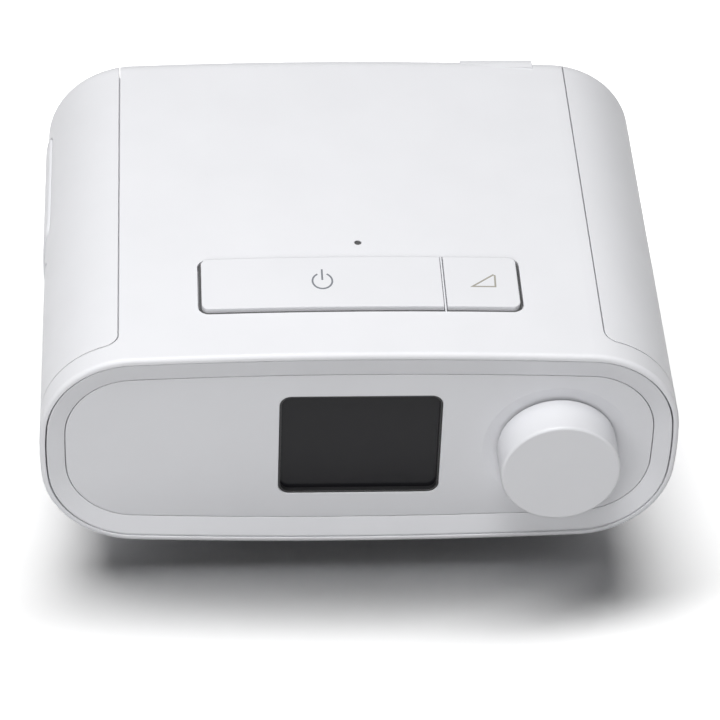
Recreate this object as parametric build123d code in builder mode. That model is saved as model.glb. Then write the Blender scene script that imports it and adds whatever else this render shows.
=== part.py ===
from build123d import *
import os
from math import cos, radians, sin, sqrt

os.makedirs("parts", exist_ok=True)

# CPAP therapy machine, in millimetres. X runs to the right, the front faces -Y, +Z is up, and the
# origin is on the floor under the middle of the whole machine.

# ------------------------------------------------------------------ driving dimensions
# Housing: a bulged box with rounded corners whose front face leans back
housing_width = 193.0
housing_height = 82.4          # floor to the highest line of the crowned top
housing_depth = 151.6          # foot of the front rim to the rear face
ground_gap = 8.0               # floor to the lowest line of the underside
top_crown = 2.7                # rise of the top and underside arcs
side_bulge = 5.0
corner_radius = 29.0
rear_round = 7.0
face_lean = 3.0                # degrees
wall = 2.4
seam_gap = 0.35                # open line between two mouldings
seam_inset = 24.0              # seams along the top and underside, from the flanks
seam_depth = 8.0               # seam behind the front ring
seam_corner = 4.0
lip_thickness = 1.5            # inner lips that close the seams
lip_reach = 5.0
rim_round = 1.2                # rounded front edge of the ring
seat_depth = 7.0               # the bezel sits on a flange this deep in the mouth
seat_thickness = 2.0
seat_inset = 6.0

# Front bezel and panel, measured up the leaning face
bezel_side_inset = 2.1         # ring's side to the bezel's edge
bezel_top_inset = 2.35         # the same at the top and foot
bezel_gap = 0.4                # open line round the bezel
bezel_setback = 0.3
bezel_land = 0.4               # flat edge outside the dished band
band_side = 5.4                # bezel's edge to the panel at the sides
band_top = 6.6                 # the same at the top and foot
panel_crown = 2.4
panel_bulge = 1.1
panel_corner = 21.2
panel_setback = 1.8
panel_thickness = 2.2
panel_gap = 0.25
ledge_width = 3.0
ledge_thickness = 1.5
front_board_depth = 14.0       # face to the front of the board behind it
front_board_height = 42.0
front_board_inset = 23.5       # flank to the end of the board
front_hole_inset_x = 7.0
front_hole_inset_z = 4.0
panel_boss_radius = 20.0
panel_boss_thickness = 3.0

# Screen
screen_width = 49.1
screen_margin = 9.1            # panel's edge to the screen, above and below
screen_corner = 3.5
screen_x = -0.1
screen_lift = 0.6              # screen's middle above the panel's
lens_setback = 2.0             # glass behind the panel's face
lens_thickness = 1.2
frame_wall = 0.6
frame_play = 0.1
frame_setback = 0.3
frame_floor = 0.8
frame_flange = 2.5
lens_ledge = 1.6
lcd_thickness = 3.2
lcd_recess = 0.3

# Dial and its encoder
dial_radius = 18.1
dial_height = 11.4             # front of the dial before the rim's plane
dial_inset = 36.8              # flank to the dial's axis
dial_drop = 0.35               # dial's axis below the panel's middle
dial_wall = 2.0
dial_web = 1.5
dial_face = 2.5
dial_edge = 0.9
dial_gap = 0.9                 # skirt above the dish at rest
dial_travel = 0.6
dish_radius = 22.5
dish_depth = 2.0
shaft_radius = 3.0
shaft_flat = 0.5
bearing_clearance = 0.05
encoder_size = 14.0
encoder_depth = 4.5
encoder_floor = 0.8
plunger_thickness = 0.6
push_margin = 0.3
bushing_radius = 3.6
bushing_length = 5.0

# Keys on the top
pocket_width = 97.9
pocket_depth = 25.1
pocket_corner = 3.5
pocket_x = 0.25
pocket_setback = 35.7          # foot of the rim to the pocket's middle
key_gap = 1.1
key_proud = 1.1
key_split_x = 25.5
key_split_gap = 1.0
key_skirt = 5.2                # housing's top line to a key's lowest edge
key_skin = 2.5                 # housing's top line to the underside of a key's top
key_wall = 1.4
flange_overlap = 1.2
flange_clearance = 0.15
stem_radius = 2.5
dome_height = 3.0
dome_radius = 3.6
dome_wall = 0.8
key_board_drop = 11.4          # housing's top line to the board under the keys
key_board_side = 7.55          # board beyond the pocket's sides, front and rear
key_board_front = 2.4
key_board_rear = 10.5
key_post_side = 4.8            # front posts beyond the pocket's sides
key_post_inset = 3.45          # rear posts within them
key_post_front = 2.6
key_post_rear = 6.0
board_thickness = 1.6
sensor_x = 0.6
sensor_setback = 55.2
sensor_radius = 1.1
sensor_recess = 0.3
board_corner = 2.0

# Walls and fits of the small mouldings
moulded_wall = 1.6
fit_clearance = 0.05
lug_gap = 0.4

# Doors on the left flank
door_thickness = 2.2
door_edge = 1.2
door_corner = 3.0
door_gap = 0.5
door_side_gap = 0.35
hinge_inset = 4.5              # hinge line inside the flank
hinge_setback = 3.5            # hinge line behind the door's front edge
knuckle_radius = 1.6
knuckle_length = 5.0
knuckle_margin = 0.8           # door's end to its knuckle
lug_length = 4.0
pin_radius = 0.8
pin_clearance = 0.05
filter_door_start = 87.5       # foot of the rim to the door's front edge
filter_door_length = 48.0
filter_door_height = 32.0
filter_door_proud = 0.7
card_door_start = 42.0
card_door_length = 34.0
card_door_height = 26.5
scoop_length = 3.4
scoop_height = 22.0
scoop_depth = 3.2

# Rear connections
port_outer_radius = 11.0
port_inner_radius = 9.0
port_inset = 45.8              # flank to the outlet's axis
port_drop = 30.0               # housing's top line to the outlet's axis
port_edge = 0.4
port_reach = 12.0              # stands out behind the rear face
port_tail = 18.0               # reaches in before the rear face
recess_radius = 16.5
recess_depth = 8.0
rear_inset = 10.4
rear_gap = 0.4
hood_width = 23.4
hood_round = 4.9
hood_height = 5.7
inlet_inset = 48.5             # flank to the power inlet's axis
inlet_z = 30.0
inlet_recess_radius = 7.5
inlet_recess_depth = 6.0
inlet_barrel_radius = 5.2
inlet_bore_radius = 3.85
inlet_pin_radius = 1.25
inlet_pin_setback = 1.0
inlet_body_depth = 9.0
inlet_body_width = 14.0
inlet_bore_depth = 9.0
connector_x = -8.0
connector_z = 30.0
connector_width = 34.0
connector_height = 13.0
connector_depth = 7.0
tongue_width = 26.0
tongue_thickness = 2.4
tongue_reach = 5.5
connector_body_depth = 8.0
contact_count = 10
contact_pitch = 2.4
contact_width = 1.3
contact_thickness = 0.2

# Base
plinth_inset = 25.5            # flank to the plinth
plinth_start = 24.0            # foot of the rim to the plinth
plinth_end = 6.0               # plinth to the rear face
plinth_corner = 12.0
plinth_z = 2.5
plinth_edge = 2.0
foot_radius = 7.0
foot_height = 3.5
foot_edge = 0.5
foot_inset = 21.0              # plinth's side, front and rear edge to a foot's middle
foot_front = 20.0
foot_rear = 13.5
column_radius = 3.0
column_joint_z = 30.0
column_start = 30.0            # foot of the rim to the front columns
column_front_inset = 34.5      # flank to the front and the rear columns
column_rear_inset = 29.9
column_left_end = 10.5         # left and right rear column to the rear face
column_right_end = 14.5
screw_radius = 1.2
screw_head_radius = 2.6
screw_head = 1.8
screw_reach = 6.0
screw_seat = 1.0               # housing screws' heads above the plinth's floor

# Filter and air path
tube_inset = 1.9               # tube's rear wall before the door's rear edge
filter_depth = 17.5            # flank to the ledge that the filter frame stops on
filter_frame_length = 8.0
frame_gap = 0.2
frame_rail = 1.4
window_margin = 8.0
muffler_inset = 40.5           # flank to the muffler
muffler_reach = 41.0           # muffler's other side to the blower's axis
muffler_start = 6.0            # muffler's front before the blower's axis
muffler_end = 18.5             # muffler to the rear face
muffler_z = 18.0
muffler_foot_inset = 4.0
foam_drop = 5.0
foam_thickness = 6.0
duct_inset = 2.0
duct_reach = 18.0              # duct's far end beyond the blower's axis
duct_depth = 40.0
duct_height = 12.0
duct_corner = 8.0
sleeve_wall = 1.6
sleeve_length = 17.0

# Blower
blower_end = 57.5              # blower's axis to the rear face
scroll_start = 28.5            # inner radius of the scroll at its tongue
scroll_end = 40.7
volute_height = 18.0           # inside
volute_wall = 1.8
duct_length = 26.0
spigot_length = 10.0
eye_radius = 13.0
eye_rim = 2.2
impeller_radius = 24.5
impeller_floor_gap = 1.5
impeller_roof_gap = 3.0
impeller_blades = 11
blade_thickness = 1.0
hub_radius = 6.0
motor_shaft_radius = 2.0
motor_cup_radius = 20.0
motor_cup_depth = 24.2
stator_bore = 9.5
magnet_radius = 8.9
stator_teeth = 6
bearing_radius = 5.0
bearing_length = 3.6
mount_reach = 46.0
mount_radius = 4.5
mount_height = 6.2
blower_screw_radius = 1.5
ear_thickness = 3.0
gasket_width = 3.8
gasket_height = 2.2
shaft_air = 0.4                # open hole round the shaft in the volute's floor
blade_sweep = radians(50)
stator_drop = 16.2             # volute to the foot of the stator
stator_height = 11.0
stator_yoke = 3.5
tooth_width = 4.0
tooth_shoe = 1.8
coil_width = 8.0
coil_over = 1.6                # coil stands out above and below the core

# Boards
main_board_z = 16.0
main_board_width = 82.0
main_board_depth = 32.0
main_board_x = -5.0
main_board_start = 36.0        # foot of the rim to the board's middle
io_board_width = 44.0
io_board_reach = 49.0          # board's inner end to the blower's axis
board_hole_inset = 4.0
io_hole_inset = 3.5
io_hole_start = 11.0
board_post_radius = 2.5
mount_post_radius = 4.0
post_radius = 3.0
bay_depth = 19.5               # flank to the back of the card bay
card_drop = 7.3                # housing's middle to the card's board
card_width = 24.0
card_length = 32.0
card_thickness = 2.1
card_proud = 7.0               # stands out of the socket into the bay
card_travel = 0.8
card_clearance = 0.15
card_notch = 4.0
card_play = 0.2
socket_wall = 1.6
chip_size = 14.0
chip_height = 1.6
capacitor_radius = 4.0
capacitor_height = 12.0
header_rise = 6.0
header_length = 12.0
header_depth = 5.0
header_pitch = 20.0
side_header_length = 14.0
processor_place = (-8.0, 0.0)  # from the main board's middle
driver_place = (10.0, -6.0)
capacitor_place = (22.0, 0.0)
side_header_place = (-28.0, -2.0)

# ------------------------------------------------------------------ places worked out from them
lean_cos = cos(radians(face_lean))
lean_sin = sin(radians(face_lean))
section_height = housing_height - ground_gap
section_middle = (housing_height + ground_gap) / 2
slant_height = section_height / lean_cos
panel_width = housing_width - 2 * (bezel_side_inset + band_side)
panel_height = slant_height - 2 * (bezel_top_inset + band_top)
panel_rise = slant_height / 2  # up the face, from the foot of the rim to the panel's middle
screen_height = panel_height - 2 * screen_margin
screen_rise = panel_rise + screen_lift
dial_x = housing_width / 2 - dial_inset
dial_rise = panel_rise - dial_drop
dial_front_reach = dial_height * lean_cos + (dial_radius - dial_rise) * lean_sin
front_y = -(housing_depth + port_reach - dial_front_reach) / 2
rear_y = front_y + housing_depth
flank_x = -housing_width / 2
seam_x = housing_width / 2 - seam_inset
face_plane = Plane(
    origin=(0, front_y, ground_gap), x_dir=(1, 0, 0), z_dir=(0, -lean_cos, lean_sin)
)
side_radius = ((section_height / 2 - top_crown) ** 2 + side_bulge**2) / (2 * side_bulge)
far = 2 * housing_width        # longer than anything, for cutting blocks

key_foot = housing_height - key_skirt
key_ceiling = housing_height - key_skin
key_board_top = housing_height - key_board_drop
port_z = housing_height - port_drop
volute_floor = port_z - volute_height / 2
volute_roof = port_z + volute_height / 2
volute_low = volute_floor - volute_wall
volute_high = volute_roof + volute_wall
mount_foot_z = volute_low - mount_height
motor_cup_z = volute_low - motor_cup_depth
stator_low = volute_low - stator_drop
muffler_top = volute_high + gasket_height
duct_top = muffler_top + duct_height
port_x = housing_width / 2 - port_inset
inlet_x = inlet_inset - housing_width / 2
blower_x = port_x - (scroll_end - port_inner_radius)
blower_y = rear_y - blower_end


def bulged_outline(width, height, crown, bulge, corner):
    """Closed outline of four shallow arcs with rounded corners, centred on its middle."""
    half_width = width / 2 - bulge
    half_height = height / 2 - crown
    with BuildSketch() as outline:
        with BuildLine():
            ThreePointArc((-half_width, half_height), (0, height / 2), (half_width, half_height))
            ThreePointArc((half_width, half_height), (width / 2, 0), (half_width, -half_height))
            ThreePointArc((half_width, -half_height), (0, -height / 2), (-half_width, -half_height))
            ThreePointArc((-half_width, -half_height), (-width / 2, 0), (-half_width, half_height))
        make_face()
        fillet(outline.vertices(), radius=corner)
    return outline.sketch


def housing_outline(inset):
    """The housing's section with every side moved inwards by inset, its arcs about as curved."""
    return bulged_outline(
        housing_width - 2 * inset,
        section_height - 2 * inset,
        top_crown * (1 - 2 * inset / housing_width) ** 2,
        side_bulge * (1 - 2 * inset / section_height) ** 2,
        corner_radius - inset,
    )


def rear_plane(before):
    """Upright plane a distance before the rear face, with its normal towards the front."""
    return Plane.XZ.offset(-(rear_y - before))


def front_plane(depth):
    """Plane parallel to the leaning face, a depth behind it, with its normal outwards."""
    return face_plane.offset(-depth)


def housing_block(inset, reach=0.0):
    """The housing's form with its sides and rear moved inwards, cut by the leaning face."""
    with BuildPart() as block:
        with BuildSketch(rear_plane(inset)):
            with Locations((0, section_middle)):
                add(housing_outline(inset))
        extrude(amount=housing_depth + far / 4)
        if inset < rear_round:
            fillet(block.faces().sort_by(Axis.Y)[-1].edges(), radius=rear_round - inset)
        split(bisect_by=front_plane(-reach), keep=Keep.BOTTOM)
    return block.part


def face_slab(front, back):
    """Block between two depths behind the leaning face."""
    with BuildPart() as block:
        with BuildSketch(front_plane(back)):
            Rectangle(far, far)
        extrude(amount=back - front)
    return block.part


def bezel_block(growth, front, back):
    """Block of the bezel's outline, grown all round, between two depths behind the face."""
    with BuildPart() as block:
        with BuildSketch(rear_plane(0)):
            with Locations((0, section_middle)):
                add(
                    bulged_outline(
                        housing_width - 2 * (bezel_side_inset - growth),
                        section_height - 2 * (bezel_top_inset - growth),
                        top_crown,
                        side_bulge,
                        corner_radius - bezel_top_inset + growth,
                    )
                )
        extrude(amount=2 * housing_depth)
        add(face_slab(front, back), mode=Mode.INTERSECT)
    return block.part


def rear_plate(inset, front, back):
    """Plate of the housing's section between two distances before the rear face."""
    with BuildPart() as plate:
        with BuildSketch(rear_plane(back)):
            with Locations((0, section_middle)):
                add(housing_outline(inset))
        extrude(amount=front - back)
    return plate.part


def side_region(side, growth):
    """Block that holds one side shell; growth moves its seams outwards from it."""
    with BuildPart() as block:
        with BuildSketch(front_plane(seam_depth - growth)):
            with Locations((side * (seam_x - growth + far / 2), 0)):
                Rectangle(far, 2 * far)
        extrude(amount=-far)
        front_face = block.faces().sort_by(Axis.Y)[0]
        seam_edge = front_face.edges().sort_by(Axis.X)[0 if side > 0 else -1]
        fillet(seam_edge, radius=seam_corner + growth)
    return block.part


def base_region(growth):
    """Block that holds the base's share of the wall; growth moves its seams outwards from it."""
    with BuildPart() as block:
        with BuildSketch(front_plane(seam_depth - growth)):
            with Locations((0, -far / 2 + corner_radius)):
                Rectangle(2 * (seam_x + growth), far)
        extrude(amount=-far)
    return block.part


def box_between(low, high):
    """Plain block between two corners."""
    with BuildPart() as block:
        with Locations(tuple((a + b) / 2 for a, b in zip(low, high))):
            Box(*(b - a for a, b in zip(low, high)))
    return block.part


# ------------------------------------------------------------------ housing shell, in four mouldings
inner_form = housing_block(wall, reach=-seat_depth)
seat_form = housing_block(seat_inset)
lip_form = housing_block(wall + lip_thickness)

with BuildPart() as shell:
    add(housing_block(0))
    front_face = shell.faces().sort_by(Axis.Y)[0]
    fillet(front_face.edges(), radius=rim_round)
    add(inner_form, mode=Mode.SUBTRACT)
    add(bezel_block(bezel_gap, -seat_depth, seat_depth), mode=Mode.SUBTRACT)
    add(rear_plate(rear_inset - rear_gap, 2 * wall, -wall), mode=Mode.SUBTRACT)

with BuildPart() as lip_shell:
    add(inner_form)
    add(lip_form, mode=Mode.SUBTRACT)

# flange that the bezel sits on, and the lip behind the ring's seam
with BuildPart() as bezel_seat:
    add(inner_form)
    add(seat_form, mode=Mode.SUBTRACT)
    add(face_slab(seat_depth, seat_depth + seat_thickness), mode=Mode.INTERSECT)

with BuildPart() as ring_lip:
    add(lip_shell.part)
    add(face_slab(seat_depth, seam_depth + lip_reach), mode=Mode.INTERSECT)

# lips along the seams of the top, and of the underside behind the ring's lip
lip_end_y = rear_y - rear_round - seam_gap
lip_start_y = front_y + seam_depth + section_height * lean_sin


def seam_lips(low_z, high_z, start_y):
    """Inner lips along both seams at |x| = seam_x, between two heights."""
    with BuildPart() as lips:
        for side in (-1, 1):
            low = (side * seam_x - lip_reach, start_y, low_z)
            high = (side * seam_x + lip_reach, lip_end_y, high_z)
            add(box_between(low, high))
        add(lip_shell.part, mode=Mode.INTERSECT)
    return lips.part


# hood over the air outlet: a flat-topped step with a tighter rear edge
hood_top = housing_height - wall / 3
hood_foot = hood_top - hood_height
with BuildPart() as hood:
    with BuildSketch(Plane.YZ.offset(port_x - hood_width / 2)):
        with Locations((rear_y - rear_round / 2, (hood_top + hood_foot) / 2)):
            Rectangle(rear_round, hood_top - hood_foot)
    extrude(amount=hood_width)
    top_rear = hood.edges().filter_by(Axis.X).group_by(Axis.Z)[-1].sort_by(Axis.Y)[-1]
    fillet(top_rear, radius=hood_round)

pocket_y = front_y + pocket_setback
front_column_x = housing_width / 2 - column_front_inset
rear_column_x = housing_width / 2 - column_rear_inset
column_places = [
    (-front_column_x, front_y + column_start),
    (front_column_x, front_y + column_start),
    (-rear_column_x, rear_y - column_left_end),
    (rear_column_x, rear_y - column_right_end),
]
pocket_front = pocket_y - pocket_depth / 2
pocket_rear = pocket_y + pocket_depth / 2
key_post_places = []
for side in (-1, 1):
    front_post_x = pocket_x + side * (pocket_width / 2 + key_post_side)
    rear_post_x = pocket_x + side * (pocket_width / 2 - key_post_inset)
    key_post_places.append((front_post_x, pocket_front + key_post_front))
    key_post_places.append((rear_post_x, pocket_rear + key_post_rear))

# columns for the housing screws, and posts that carry the key board, rooted in the top
with BuildPart() as cover_posts:
    with BuildSketch(Plane.XY.offset(column_joint_z)):
        with Locations(column_places):
            Circle(column_radius)
    extrude(amount=housing_height)
    with BuildSketch(Plane.XY.offset(key_board_top)):
        with Locations(key_post_places):
            Circle(stem_radius)
    extrude(amount=housing_height)
    add(housing_block(wall / 2), mode=Mode.INTERSECT)
    with BuildSketch(Plane.XY.offset(column_joint_z)):
        with Locations(column_places):
            Circle(screw_radius)
    extrude(amount=5 * column_radius, mode=Mode.SUBTRACT)
    with BuildSketch(Plane.XY.offset(key_board_top)):
        with Locations(key_post_places):
            Circle(screw_radius)
    extrude(amount=screw_reach, mode=Mode.SUBTRACT)

with BuildPart() as main_cover:
    add(shell.part)
    for side in (-1, 1):
        add(side_region(side, seam_gap / 2), mode=Mode.SUBTRACT)
    add(base_region(seam_gap / 2), mode=Mode.SUBTRACT)
    add(bezel_seat.part)
    add(ring_lip.part)
    add(seam_lips(section_middle, far, lip_start_y))
    add(hood.part)
    # pocket for the keys, and the light sensor's hole
    with BuildSketch(Plane.XY.offset(section_middle)):
        with Locations((pocket_x, pocket_y)):
            RectangleRounded(pocket_width, pocket_depth, pocket_corner)
        with Locations((sensor_x, front_y + sensor_setback)):
            Circle(sensor_radius)
    extrude(amount=housing_height, mode=Mode.SUBTRACT)
    add(cover_posts.part)
main_cover.part.label = "main_cover"
export_step(main_cover.part, "parts/main_cover.step")

# ------------------------------------------------------------------ doors on the left flank
hinge_x = flank_x + hinge_inset
filter_hinge_y = front_y + filter_door_start + hinge_setback
card_hinge_y = front_y + card_door_start + hinge_setback


def door_prism(start_y, length, height, margin):
    """Block through the left flank with a door's rounded outline, grown by a margin."""
    with BuildPart() as prism:
        with BuildSketch(Plane.YZ.offset(-far / 2)):
            with Locations((start_y + length / 2, section_middle)):
                RectangleRounded(length + 2 * margin, height + 2 * margin, door_corner + margin)
        extrude(amount=far / 2 - seam_x)
    return prism.part


def flank_sag(height):
    """How far the bulged flank falls away at half a height above its middle."""
    return side_radius - sqrt(side_radius**2 - (height / 2) ** 2)


def hinge_sweep(hinge_y, height, proud):
    """Space that a door's front edge sweeps about its hinge line."""
    edge_x = hinge_inset + proud
    margin = door_side_gap - door_edge * (sqrt(2) - 1)
    middle = sqrt(edge_x**2 + hinge_setback**2) + margin
    end_x = edge_x - flank_sag(height) - knuckle_margin
    end = sqrt(end_x**2 + hinge_setback**2) + margin
    with BuildPart() as sweep:
        hinge_plane = Plane((hinge_x, hinge_y, section_middle), x_dir=(1, 0, 0), z_dir=(0, -1, 0))
        with BuildSketch(hinge_plane):
            with BuildLine():
                ThreePointArc((end, -height / 2), (middle, 0), (end, height / 2))
                Polyline((end, height / 2), (0, height / 2), (0, -height / 2), (end, -height / 2))
            make_face()
        revolve(axis=Axis((hinge_x, hinge_y, 0), (0, 0, 1)))
    return sweep.part


def flank_door(start_y, length, height, proud):
    """Curved door that continues the flank, with two hinge knuckles inside its front edge."""
    hinge_y = start_y + hinge_setback
    plate_back = door_thickness - proud
    low_z = section_middle - height / 2 + knuckle_margin
    high_z = section_middle + height / 2 - knuckle_margin - knuckle_length
    with BuildPart() as knuckles:
        for knuckle_z in (low_z, high_z):
            with BuildSketch(Plane.XY.offset(knuckle_z)):
                with Locations((hinge_x, hinge_y)):
                    Circle(knuckle_radius)
                with Locations((hinge_x - knuckle_radius * 2, hinge_y)):
                    Rectangle(4 * knuckle_radius, 2 * knuckle_radius)
            extrude(amount=knuckle_length)
        add(housing_block(door_thickness / 2, reach=0), mode=Mode.INTERSECT)
    with BuildPart() as door:
        add(door_prism(start_y, length, height, 0))
        add(housing_block(-proud), mode=Mode.INTERSECT)
        add(housing_block(plate_back), mode=Mode.SUBTRACT)
        outer_faces = door.faces().filter_by(lambda face: face.normal_at().X < -0.5)
        edge_faces = door.faces().filter_by(lambda face: abs(face.normal_at().X) < 0.5)
        fillet(outer_faces.edges() & edge_faces.edges(), radius=door_edge)
        add(knuckles.part)
        with BuildSketch(Plane.XY.offset(0)):
            with Locations((hinge_x, hinge_y)):
                Circle(pin_radius + pin_clearance)
        extrude(amount=housing_height, mode=Mode.SUBTRACT)
    return door.part


def door_lugs(hinge_y, height, reach_x):
    """Two lugs that hold a door's hinge pin, standing out from the moulding behind the door."""
    span = height / 2 - knuckle_margin - knuckle_length - door_side_gap
    with BuildPart() as lugs:
        for foot_z in (section_middle - span, section_middle + span - lug_length):
            with BuildSketch(Plane.XY.offset(foot_z)):
                with Locations((hinge_x, hinge_y)):
                    Circle(knuckle_radius)
                with Locations(((hinge_x + reach_x) / 2, hinge_y)):
                    Rectangle(reach_x - hinge_x, 2 * knuckle_radius)
            extrude(amount=lug_length)
        with BuildSketch(Plane.XY.offset(0)):
            with Locations((hinge_x, hinge_y)):
                Circle(pin_radius)
        extrude(amount=housing_height, mode=Mode.SUBTRACT)
    return lugs.part


def hinge_pin(hinge_y, height):
    """Steel pin that runs through both knuckles and both lugs."""
    with BuildPart() as pin:
        with BuildSketch(Plane.XY.offset(section_middle - height / 2 + knuckle_margin)):
            with Locations((hinge_x, hinge_y)):
                Circle(pin_radius)
        extrude(amount=height - 2 * knuckle_margin)
    return pin.part


filter_door_y = front_y + filter_door_start
card_door_y = front_y + card_door_start
scoop_y = filter_door_y + filter_door_length

with BuildPart() as filter_door:
    add(flank_door(filter_door_y, filter_door_length, filter_door_height, filter_door_proud))
filter_door.part.label = "filter_door"
export_step(filter_door.part, "parts/filter_door.step")

with BuildPart() as card_door:
    add(flank_door(card_door_y, card_door_length, card_door_height, 0))
card_door.part.label = "card_door"
export_step(card_door.part, "parts/card_door.step")

with BuildPart() as hinge_pins:
    add(hinge_pin(filter_hinge_y, filter_door_height))
    add(hinge_pin(card_hinge_y, card_door_height))
hinge_pins.part.label = "hinge_pins"
export_step(hinge_pins.part, "parts/hinge_pins.step")

# ------------------------------------------------------------------ side shells
with BuildPart() as right_side_shell:
    add(shell.part)
    add(side_region(1, -seam_gap / 2), mode=Mode.INTERSECT)
right_side_shell.part.label = "right_side_shell"
export_step(right_side_shell.part, "parts/right_side_shell.step")

# pad behind the filter door's rear edge, hollowed as a finger scoop
with BuildPart() as scoop_pad:
    with BuildSketch(Plane.YZ.offset(flank_x + wall / 2)):
        with Locations((scoop_y + scoop_length / 2 - door_gap, section_middle)):
            Rectangle(scoop_length + 2 * wall, scoop_height + 2 * wall)
    extrude(amount=scoop_depth)

with BuildPart() as left_side_shell:
    add(shell.part)
    add(side_region(-1, -seam_gap / 2), mode=Mode.INTERSECT)
    add(scoop_pad.part)
    add(door_prism(filter_door_y, filter_door_length, filter_door_height, door_gap), mode=Mode.SUBTRACT)
    add(door_prism(card_door_y, card_door_length, card_door_height, door_gap), mode=Mode.SUBTRACT)
    add(hinge_sweep(filter_hinge_y, filter_door_height, filter_door_proud), mode=Mode.SUBTRACT)
    add(hinge_sweep(card_hinge_y, card_door_height, 0), mode=Mode.SUBTRACT)
    with BuildSketch(Plane.YZ.offset(flank_x + scoop_depth)):
        with Locations((scoop_y + scoop_length / 2, section_middle)):
            RectangleRounded(scoop_length, scoop_height, scoop_length / 2 - fit_clearance)
    extrude(amount=-2 * scoop_depth, mode=Mode.SUBTRACT)
left_side_shell.part.label = "left_side_shell"
export_step(left_side_shell.part, "parts/left_side_shell.step")

# ------------------------------------------------------------------ rear panel and its connections
with BuildPart() as rear_panel:
    add(rear_plate(rear_inset, wall, 0))
    add(rear_plate(rear_round + rear_gap, 2 * wall, wall))
    # cups of the three recesses, each with its floor
    with BuildSketch(rear_plane(0)):
        with Locations((port_x, port_z)):
            Circle(recess_radius + moulded_wall)
    extrude(amount=recess_depth + 2 * moulded_wall)
    with BuildSketch(rear_plane(0)):
        with Locations((inlet_x, inlet_z)):
            Circle(inlet_recess_radius + moulded_wall)
    extrude(amount=inlet_recess_depth + moulded_wall)
    with BuildSketch(rear_plane(0)):
        with Locations((connector_x, connector_z)):
            RectangleRounded(
                connector_width + 2 * moulded_wall,
                connector_height + 2 * moulded_wall,
                2 * moulded_wall,
            )
    extrude(amount=connector_depth + moulded_wall)
    with BuildSketch(rear_plane(0)):
        with Locations((port_x, port_z)):
            Circle(recess_radius)
    extrude(amount=recess_depth + moulded_wall, mode=Mode.SUBTRACT)
    with BuildSketch(rear_plane(0)):
        with Locations((inlet_x, inlet_z)):
            Circle(inlet_recess_radius)
    extrude(amount=inlet_recess_depth, mode=Mode.SUBTRACT)
    with BuildSketch(rear_plane(0)):
        with Locations((connector_x, connector_z)):
            RectangleRounded(connector_width, connector_height, moulded_wall)
    extrude(amount=connector_depth, mode=Mode.SUBTRACT)
    # ways through the floors
    with BuildSketch(rear_plane(0)):
        with Locations((port_x, port_z)):
            Circle(port_outer_radius + fit_clearance)
        with Locations((inlet_x, inlet_z)):
            Circle(inlet_barrel_radius + pin_clearance)
        with Locations((connector_x, connector_z)):
            Rectangle(tongue_width + 2 * pin_clearance, tongue_thickness + 2 * pin_clearance)
    extrude(amount=recess_depth + 3 * moulded_wall, mode=Mode.SUBTRACT)
rear_panel.part.label = "rear_panel"
export_step(rear_panel.part, "parts/rear_panel.step")

with BuildPart() as outlet_port:
    with BuildSketch(rear_plane(port_tail)):
        with Locations((port_x, port_z)):
            Circle(port_outer_radius)
    extrude(amount=-(port_tail + port_reach))
    with BuildSketch(rear_plane(recess_depth)):
        with Locations((port_x, port_z)):
            Circle(recess_radius - pin_clearance)
    extrude(amount=moulded_wall)
    with BuildSketch(rear_plane(port_tail)):
        with Locations((port_x, port_z)):
            Circle(port_inner_radius)
    extrude(amount=-(port_tail + port_reach), mode=Mode.SUBTRACT)
    mouth = outlet_port.faces().sort_by(Axis.Y)[-1]
    chamfer(mouth.edges(), length=port_edge)
outlet_port.part.label = "outlet_port"
export_step(outlet_port.part, "parts/outlet_port.step")

with BuildPart() as power_inlet:
    with BuildSketch(rear_plane(inlet_recess_depth + moulded_wall)):
        with Locations((inlet_x, inlet_z)):
            Rectangle(inlet_body_width, inlet_body_width)
    extrude(amount=inlet_body_depth)
    with BuildSketch(rear_plane(inlet_recess_depth + moulded_wall)):
        with Locations((inlet_x, inlet_z)):
            Circle(inlet_barrel_radius)
    extrude(amount=-moulded_wall)
    with BuildSketch(rear_plane(inlet_recess_depth)):
        with Locations((inlet_x, inlet_z)):
            Circle(inlet_bore_radius)
    extrude(amount=inlet_bore_depth, mode=Mode.SUBTRACT)
power_inlet.part.label = "power_inlet"
export_step(power_inlet.part, "parts/power_inlet.step")

with BuildPart() as inlet_pin:
    with BuildSketch(rear_plane(inlet_recess_depth + inlet_bore_depth)):
        with Locations((inlet_x, inlet_z)):
            Circle(inlet_pin_radius)
    extrude(amount=inlet_pin_setback - inlet_bore_depth)
    fillet(inlet_pin.faces().sort_by(Axis.Y)[-1].edges(), radius=inlet_pin_radius / 2)
inlet_pin.part.label = "inlet_pin"
export_step(inlet_pin.part, "parts/inlet_pin.step")

with BuildPart() as humidifier_connector:
    with BuildSketch(rear_plane(connector_depth + moulded_wall)):
        with Locations((connector_x, connector_z)):
            RectangleRounded(connector_width, connector_height - moulded_wall, moulded_wall)
    extrude(amount=connector_body_depth)
    with BuildSketch(rear_plane(connector_depth + moulded_wall)):
        with Locations((connector_x, connector_z)):
            Rectangle(tongue_width, tongue_thickness)
    extrude(amount=-(moulded_wall + tongue_reach))
humidifier_connector.part.label = "humidifier_connector"
export_step(humidifier_connector.part, "parts/humidifier_connector.step")

with BuildPart() as connector_contacts:
    contact_rows = tongue_thickness + contact_thickness
    with BuildSketch(rear_plane(connector_depth)):
        with Locations((connector_x, connector_z)):
            with GridLocations(contact_pitch, contact_rows, contact_count, 2):
                Rectangle(contact_width, contact_thickness)
    extrude(amount=-(tongue_reach - contact_width))
connector_contacts.part.label = "connector_contacts"
export_step(connector_contacts.part, "parts/connector_contacts.step")

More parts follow.
